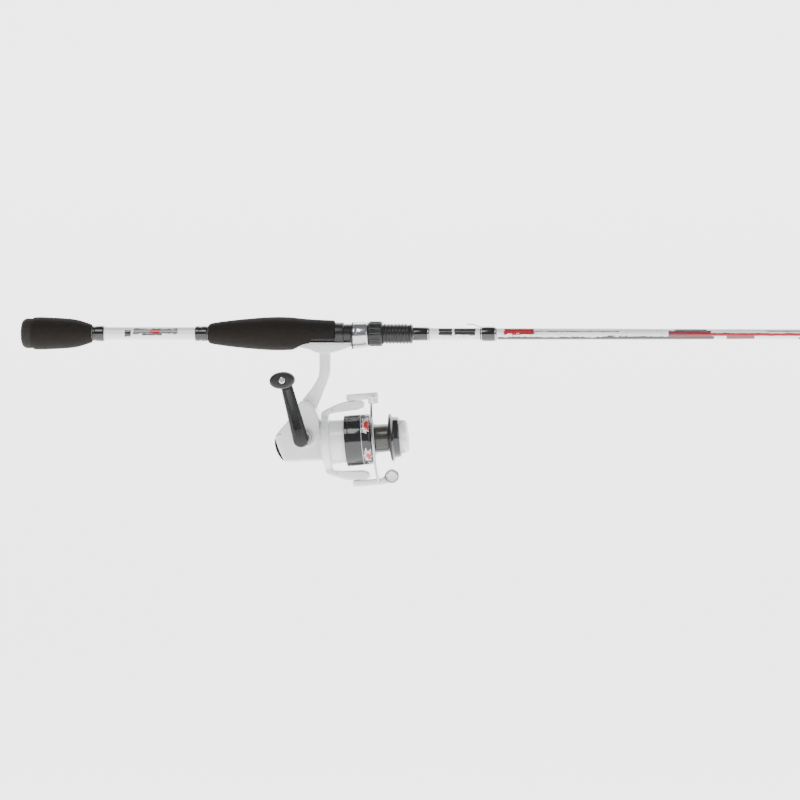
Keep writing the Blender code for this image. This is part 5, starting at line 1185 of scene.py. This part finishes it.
def add_body_fittings():
    outline = fillet(body_outline(13.7), 2.4, 5)
    cover = slab(outline, 12.3, 17.0, 2.0, round_start=False)
    panel = slab(inset(outline, 5.0), 16.0, 17.0, 0.6, round_start=False)
    hole = [("UNION", panel),
            ("DIFFERENCE", lathe([(11.0, 0.0), (11.0, 6.3), (15.6, 6.3), (15.6, 3.6), (18.0, 3.6),
                                                    (18.0, 0.0)], 48, "Y"))]
    lever_hole = lathe([(11.0, 0.0), (11.0, 2.3), (18.0, 2.3), (18.0, 0.0)], 32, "Y")
    hole.append(("DIFFERENCE", moved(lever_hole, Matrix.Translation((-13.0, 0.0, -11.5)))))
    groove = inset(outline, 3.3)
    lip = [("DIFFERENCE", frame_band(groove, 0.5, 16.75, 18.0))]
    screws = {"cover_screw_front": (9.6, -17.4), "cover_screw_top": (1.5, 24.3)}
    for x, z in screws.values():
        seat = lathe([(15.7, 0.0), (15.7, 2.5), (18.0, 2.5), (18.0, 0.0)], 32, "Y")
        lip.append(("DIFFERENCE", moved(seat, Matrix.Translation((x, 0.0, z)))))
    add_piece("far_cover", boolean(cover, hole + lip, CRANK), "white", "rod_and_reel", ("side_cover",))
    for name, (x, z) in screws.items():
        cross_screw(f"{name}_head", CRANK @ Matrix.Translation((x, 0.0, z)), "rod_and_reel", 2.2, 16.95,
                    (name,),
                    out=1.0)
    outer = arc(GUARD_TOP, GUARD_BOTTOM, 3.5, 24)
    inner = arc(GUARD_TOP, GUARD_BOTTOM, 1.0, 24)
    normal = Vector((GUARD_BOTTOM.y - GUARD_TOP.y, GUARD_TOP.x - GUARD_BOTTOM.x)).normalized()
    seat_line = [(x + normal.x * 0.25, z + normal.y * 0.25) for x, z in inner[2:-2]]
    guard = slab(outer[2:-2] + list(reversed(seat_line)), -13.0, 11.5, 0.9)
    add_piece("heel_guard", finish_mesh(guard, "heel_guard", CRANK), "black", "rod_and_reel", ("rear_guard",))
    cross_screw("heel_screw", CRANK @ Matrix.Translation((-22.4, 0.0, 2.7)), "rod_and_reel", 1.6, -16.1)
    cap = [(17.4, 2.3), (17.4, 6.4), (18.0, 7.1), (19.0, 7.2), (22.6, 6.7), (23.4, 6.0), (23.8, 4.6),
           (23.5, 4.2),
           (23.5, 0.0), (20.8, 0.0), (20.8, 2.3)]

    def grip_cut(along, radius, angle):
        return 0.35 * max(0.0, math.cos(10 * angle)) if radius > 6.3 and along < 23.0 else 0.0

    turned_piece("crank_cap", cap, "white_satin", "crank", ("handle_cap",), CRANK, 120, "Y", 0.3, grip_cut)
    lever_stem = lathe([(10.0, 0.0), (10.0, 2.0), (18.0, 2.0), (18.0, 0.0)], 40, "Y")
    paddle = fillet(circle((0.0, 0.0), 3.0, 20, -60.0, 120.0) + circle((-8.5, -3.0), 2.0, 14, 100.0,
                                                                       320.0), 0.8, 3)
    add_piece("lever_paddle", boolean(lever_stem, [("UNION", slab(paddle, 17.4, 19.6, 0.6))], LEVER), "black",
              "lever", ("anti_reverse_lever",))


def frame_band(outline, width, start, end):
    """A narrow raised or cut band that follows an outline."""
    outer = slab(outline, start, end, 0.1)
    inner = slab(inset(outline, width), start - 1.0, end + 1.0, 0.1)
    mesh = boolean(outer, [("DIFFERENCE", inner)], Matrix.Identity(4))
    result = bmesh.new()
    result.from_mesh(mesh)
    bpy.data.meshes.remove(mesh)
    return result


# ---------------------------------------------------------------- rotor and bail

def arm_outline(hand):
    points = [(15.4, 17.0), (15.4, 26.6), (16.8, 28.3), (24.0, 31.0), (31.0, 33.6), (38.0, 35.2),
              (42.0, 35.5),
              (53.0, 35.5), (55.0, 33.5), (55.0, 29.5), (50.0, 27.5), (30.0, 26.4), (23.0, 25.4), (21.9,
                                                                                                   23.5),
              (21.9, 17.0)]
    return [(s, hand * r) for s, r in points]


def add_rotor():
    cup = lathe([(15.4, 20.6), (15.4, 23.9), (16.2, 24.5), (21.0, 24.1), (22.0, 23.2), (22.3, 19.8),
                 (38.0, 19.3),
                 (38.0, 17.8), (36.2, 17.8), (36.2, 3.9), (33.6, 3.9), (33.6, 17.8), (20.8, 17.8), (19.3,
                                                                                                    20.6)], 128)
    parts = []
    for hand in (-1.0, 1.0):
        parts.append(("UNION", slab(fillet(arm_outline(hand), 2.0, 4), -7.0, 7.0, 1.6)))
    inside = lathe([(15.0, 0.0), (15.0, 20.6), (19.3, 20.6), (20.8, 17.8), (24.0, 17.8), (24.0, 0.0)], 96)
    joined = boolean(cup, parts + [("DIFFERENCE", inside)], Matrix.Scale(MM, 4))
    skin = blended(joined, 0.42, 4, "rotor_skin")
    bm = bmesh.new()
    bm.from_mesh(skin)
    bpy.data.meshes.remove(skin)
    bm.transform(Matrix.Scale(1.0 / MM, 4))
    pivot = Matrix.Translation((PIVOT_S, 0.0, 0.0))
    cuts = [("DIFFERENCE",
             moved(lathe([(25.0, 0.0), (25.0, 2.0), (40.0, 2.0), (40.0, 0.0)], 32, "Z"), pivot)),
            ("DIFFERENCE",
             moved(lathe([(-40.0, 0.0), (-40.0, 2.0), (-25.0, 2.0), (-25.0, 0.0)], 32, "Z"), pivot)),
            ("DIFFERENCE",
             moved(lathe([(31.6, 0.0), (31.6, 4.5), (40.0, 4.5), (40.0, 0.0)], 40, "Z"), pivot)),
            ("DIFFERENCE", lathe([(30.0, 0.0), (30.0, 3.9), (40.0, 3.9), (40.0, 0.0)], 48))]
    mesh = boolean(bm, cuts, SPOOL)
    mesh.set_sharp_from_angle(angle=math.radians(50.0))
    add_piece("rotor_moulding", mesh, "white", "rotor_unit", ("rotor",))
    for hand, label in ((-1.0, "lower"), (1.0, "upper")):
        # A thin dark strip along the outer edge of each arm.
        edge = [(17.0, 28.25), (24.0, 31.0), (31.0, 33.6), (38.0, 35.25), (42.0, 35.52), (46.0, 35.52)]
        edge_line = slab_strip(edge, hand, 0.45)
        add_piece(f"rotor_edge_line_{label}", finish_mesh(edge_line, "edge_line", SPOOL), "black", "rotor_unit")
        spot = SPOOL @ Matrix.Translation((26.0, 0.0, hand * 28.6))
        cross_screw(f"rotor_screw_{label}", spot, "rotor_unit", 1.35, -7.0, (), "black")
    for name, hand in (("bail_screw_upper", 1.0), ("bail_screw_lower", -1.0)):
        cross_screw(f"{name}_head", SPOOL @ pivot, "rotor_unit", 3.0, hand * 41.8, (name,), "steel", hand,
                    "Z")
    spring_place = SPOOL @ pivot @ Matrix.Translation((0.0, 0.0,
                                                       32.3)) @ Matrix.Rotation(math.radians(-90.0), 4, "Y")
    winding("return_spring", "steel", "rotor_unit", spring_place, 0.0, 3, 3.2, 0.95, 0.32, 40, 10,
            ("bail_spring",))


def slab_strip(edge, hand, thickness):
    """A thin strip lying along the outer edge of a rotor arm."""
    rings = []
    for s, r in edge:
        rings.append([(s, -5.4, hand * (r - 0.5)), (s, -5.4, hand * (r + thickness * 0.4)),
                      (s, 5.4, hand * (r + thickness * 0.4)), (s, 5.4, hand * (r - 0.5))])
    return swept(rings)


def add_bail():
    """Bail arms with their bosses, the line roller's bracket, the wire and the roller."""
    wire_x = 63.5 - PIVOT_S
    plan = circle((0.0, 0.0), 8.4, 28, 70.0, 290.0)
    plan = fillet(plan + [(9.0, -5.5), (20.9, -4.0), (20.9, 4.0), (9.0, 5.5)], 2.0, 5)
    roller = (75.0 - PIVOT_S, 0.0, -34.4)
    for name, hand in (("bail_arm_upper", 1.0), ("bail_arm_lower", -1.0)):
        near, far = sorted((hand * 36.0, hand * 41.8))
        parts = []
        arm = slab(plan, near, far, 1.7, "Z")
        if hand > 0:
            nose = slab(fillet([(11.5, 31.6), (20.4, 31.6), (20.4, 38.0), (11.5, 38.0)], 1.2, 4), -3.2,
                        3.2, 1.0)
            parts.append(("UNION", nose))
        else:
            x, z = roller[0], roller[2]
            bracket = circle((x, z), 5.6, 22, -40.0, 120.0)
            bracket += [(x - 9.0, -35.6), (x - 15.5, -36.4), (x - 15.5, -40.8), (x - 5.0, -41.2)]
            parts.append(("UNION", slab(fillet(bracket, 1.2, 4), 2.2, 4.8, 0.7)))
            pin = lathe([(-6.0, 0.0), (-6.0, 1.5), (3.0, 1.5), (3.0, 0.0)], 32, "Y")
            parts.append(("UNION", moved(pin, Matrix.Translation(roller))))
        shank = sorted((hand * 30.0, hand * 45.0))
        seat = sorted((hand * 39.5, hand * 45.0))
        parts.append(("DIFFERENCE",
                      lathe([(shank[0], 0.0), (shank[0], 2.0), (shank[1], 2.0), (shank[1], 0.0)], 32, "Z")))
        parts.append(("DIFFERENCE",
                      lathe([(seat[0], 0.0), (seat[0], 3.3), (seat[1], 3.3), (seat[1], 0.0)], 40, "Z")))
        socket = lathe([(-8.0, 0.0), (-8.0, 1.3), (0.8, 1.3), (0.8, 0.0)], 32, "Y")
        parts.append(("DIFFERENCE", moved(socket, Matrix.Translation((wire_x, 0.0, hand * 38.0)))))
        add_piece(f"{name}_moulding", boolean(arm, parts, BAIL), "white", "bail", (name,))
    points = []
    for i in range(121):
        angle = math.pi * i / 120
        across = 38.0 * math.copysign(abs(math.cos(angle)) ** 0.8, math.cos(angle))
        points.append((wire_x, -46.0 * abs(math.sin(angle)) ** 0.8, across))
    add_piece("bail_bow", finish_mesh(along_path(points, 1.15, 24), "bail_bow", BAIL), "wire", "bail",
              ("bail_wire",))
    wheel = [(-3.3, 1.8), (-3.3, 4.5), (-2.9, 4.85), (-2.3, 4.9), (-1.5, 4.1), (-0.7, 3.6), (0.1, 4.1),
             (0.9, 4.9),
             (1.5, 4.85), (1.9, 4.5), (1.9, 1.8)]
    turned_piece("roller_wheel", wheel, "chrome", "roller", ("line_roller",), ROLLER, 80, "Y", 0.3)
    cap = [(-3.7, 1.8), (-3.7, 5.7), (-4.3, 6.25), (-5.6, 6.2), (-6.9, 5.85), (-7.1, 5.45), (-7.5, 5.3),
           (-8.1, 4.1),
           (-8.2, 3.6), (-7.9, 3.2), (-7.9, 0.0), (-6.4, 0.0), (-6.4, 1.8)]
    cap_place = BAIL @ Matrix.Translation(roller)
    turned_piece("roller_shell", cap, "white", "bail", ("roller_cap",), cap_place, 96, "Y", 0.3)
    rim = [(x, -6.95, z) for x, z in circle((0.0, 0.0), 5.75, 60, 150.0, 400.0)]
    add_piece("roller_rim", finish_mesh(along_path(rim, 0.5, 12), "rim", cap_place), "black", "bail")
    for start, end, label in ((10.0, 150.0, "upper"), (190.0, 330.0, "lower")):
        loop = [(x, -7.85, z) for x, z in circle((0.0, 0.0), 4.65, 30, start, end)]
        add_piece(f"roller_mark_{label}", finish_mesh(along_path(loop, 0.32, 10), "mark", cap_place),
                  "grey", "bail")


# ---------------------------------------------------------------- spool, drag and handle

def add_spool():
    outline = [(35.8, 21.75), (35.8, 22.9), (36.2, 23.2), (38.6, 23.25), (38.8, 23.05), (39.3, 23.05),
               (39.5, 23.25),
               (50.6, 23.1), (50.8, 22.92), (51.7, 22.92), (51.9, 23.08), (57.2, 22.95), (58.6,
                                                                                          22.6), (59.7, 21.9),
               (60.1, 20.9), (62.0, 14.2), (63.2, 12.85), (74.3, 12.65), (75.2, 14.6), (75.7, 20.2), (76.3,
                                                                                                      21.2),
               (77.0, 21.5), (77.8, 21.3), (78.6, 20.2), (79.6, 18.7), (80.4, 18.5), (83.6, 18.2), (84.6,
                                                                                                    17.8),
               (85.0, 17.0), (85.0, 16.0), (84.5, 15.5), (83.0, 15.5), (83.0, 10.8), (72.0, 10.8), (72.0,
                                                                                                    1.75),
               (54.0, 1.75), (54.0, 5.0), (58.0, 5.0), (58.0, 21.15)]
    turned_piece("spool_turning", outline, "spool", "spool_unit", ("spool",), SPOOL, 192, edge=0.25)
    turned_piece("spool_lip", [(75.9, 20.9), (76.2, 21.38), (77.0, 21.62), (77.8, 21.42), (78.0, 21.0)],
                 "black",
                 "spool_unit", (), SPOOL, 128, edge=0.15)


def add_drag_knob():
    outline = [(75.4, 1.75), (75.4, 9.8), (83.4, 9.8), (83.4, 14.4), (83.8, 14.8), (84.6, 14.9), (89.0, 14.9),
               (90.4, 14.5), (91.4, 13.6), (91.9, 12.3), (91.7, 11.6), (91.9, 10.9), (92.3, 9.0), (92.4, 4.6),
               (92.1, 4.2), (92.1, 0.0), (87.8, 0.0), (87.8, 1.75)]

    def scallop(along, radius, angle):
        if radius < 12.0 or along < 84.3:
            return 0.0
        return 0.75 * max(0.0, math.cos(6 * angle)) ** 2 * min(1.0, (along - 84.3) / 1.5)

    turned_piece("drag_cap", outline, "white_satin", "drag_adjuster", ("drag_knob",), SPOOL, 192, "X", 0.4,
                 scallop)
    ribs = grown("drag_ribs", RIBS, SPOOL, "white_satin", count=54, radius=14.82, start=84.6, rib_length=4.2,
                 rib_radius=0.28)
    add_piece("drag_ribs", ribs, "white_satin", "drag_adjuster")


HANDLE_REACH = 55.3          # crank axis to knob axis, in millimetres
HANDLE_ANGLE = 105.0         # degrees from +X towards +Z
KNOB_REST_TURN = -5.7        # degrees about +Y; below zero lifts the knob's front end
HANDLE_ARM_OUT = -56.0
HANDLE_ARM_IN = -50.0


def add_handle():
    angle = math.radians(HANDLE_ANGLE)
    knob_x, knob_z = HANDLE_REACH * math.cos(angle), HANDLE_REACH * math.sin(angle)
    hub = circle((0.0, 0.0), 7.0, 30, HANDLE_ANGLE + 95.0, HANDLE_ANGLE + 265.0)
    tip = circle((knob_x, knob_z), 4.9, 24, HANDLE_ANGLE - 85.0, HANDLE_ANGLE + 85.0)
    arm = slab(hub + tip, HANDLE_ARM_OUT, HANDLE_ARM_IN, 1.8)
    shank = lathe([(-51.0, 0.0), (-51.0, 5.6), (-48.0, 5.6), (-46.8, 5.2), (-45.6, 5.05), (-30.0, 4.65),
                   (-21.4, 4.4),
                   (-21.0, 4.9), (-19.8, 4.9), (-19.5, 4.2), (-19.5, 2.0), (20.5, 2.0), (20.5, 0.0)], 56, "Y")
    post = moved(lathe([(-79.8, 0.0), (-79.8, 2.0), (-55.0, 2.0), (-55.0, 0.0)], 32, "Y"),
                 Matrix.Translation((knob_x, 0.0, knob_z)))
    axis = Vector((math.cos(angle), math.sin(angle)))
    side = Vector((-axis.y, axis.x))
    panel = ((0.17, 3.6), (0.83, 2.6), (0.83, -2.6), (0.17, -3.6))
    corners = [axis * HANDLE_REACH * share + side * half for share, half in panel]
    recess = slab(fillet([tuple(c) for c in corners], 2.2, 6), -57.0, -55.4, 0.15)
    parts = [("UNION", shank), ("UNION", post), ("DIFFERENCE", recess)]
    add_piece("crank_arm", boolean(arm, parts, CRANK), "black", "crank", ("handle_arm",))
    sections = [(-56.6, 0.38), (-56.9, 0.42), (-59.6, 0.49), (-62.5, 0.58), (-65.6, 0.71), (-69.0, 0.84),
                (-72.6, 0.94),
                (-76.0, 0.99), (-79.0, 1.0), (-81.0, 0.985), (-82.4, 0.94), (-83.3, 0.87), (-83.8,
                                                                                            0.78), (-84.0,
                                                                                                    0.68)]
    steps = 96
    rings = []
    for y, share in sections:
        lengthwise, crosswise = 11.5 * share, 7.65 * (0.35 + 0.65 * share)
        rings.append([(lengthwise * math.cos(TAU * i / steps), y, crosswise * math.sin(TAU * i / steps))
                      for i in range(steps)])
    grip = swept(rings)
    knob_turn = Matrix.Rotation(math.radians(KNOB_REST_TURN), 3, "Y")
    bmesh.ops.rotate(grip, verts=grip.verts, cent=(0, 0, 0), matrix=knob_turn)
    bore = lathe([(-85.0, 0.0), (-85.0, 3.9), (-83.4, 3.6), (-81.0, 3.6), (-81.0, 2.3), (-55.0, 2.3),
                  (-55.0, 0.0)],
                 48, "Y", 0.05)
    add_piece("knob_moulding", boolean(grip, [("DIFFERENCE", bore)], KNOB), "grip", "crank_knob",
              ("handle_knob",))
    spot = CRANK @ Matrix.Translation((knob_x, 0.0, knob_z))
    cross_screw("knob_screw_head", spot, "crank", 3.1, -83.2, ("knob_screw",))


# ---------------------------------------------------------------- plain nodes that stay

KEPT = {
    "drive_gear": "zinc", "pinion_gear": "brass", "oscillation_gear": "acetal", "main_shaft": "steel",
    "oscillation_slider": "zinc", "drive_bearing_left": "steel", "drive_bearing_right": "steel",
    "pinion_bearing": "steel", "rotor_nut": "steel", "click_ring": "steel", "drag_washer_felt": "felt",
    "drag_washer_steel": "steel",
}


def finish_kept_nodes():
    for name, finish in KEPT.items():
        node = frame["nodes"][name]
        node.data.materials.clear()
        node.data.materials.append(MATERIALS[finish])


GUIDES = (
    ("stripper_guide", 805.0, 10.0, 22.0, True, "rod_and_reel"),
    ("middle_guide", 1130.0, 6.4, 14.0, False, "tip_section"),
    ("upper_guide", 1430.0, 5.0, 10.0, False, "tip_section"),
)

add_rear_end()
add_blanks()
add_main_grip()
add_reel_seat()
add_hood_and_nut()
add_sleeve_and_wraps()
for guide in GUIDES:
    add_guide(*guide)
add_tip_top()
add_body()
add_body_fittings()
add_rotor()
add_bail()
add_spool()
add_drag_knob()
add_handle()
finish_kept_nodes()
add_studio()
add_camera()
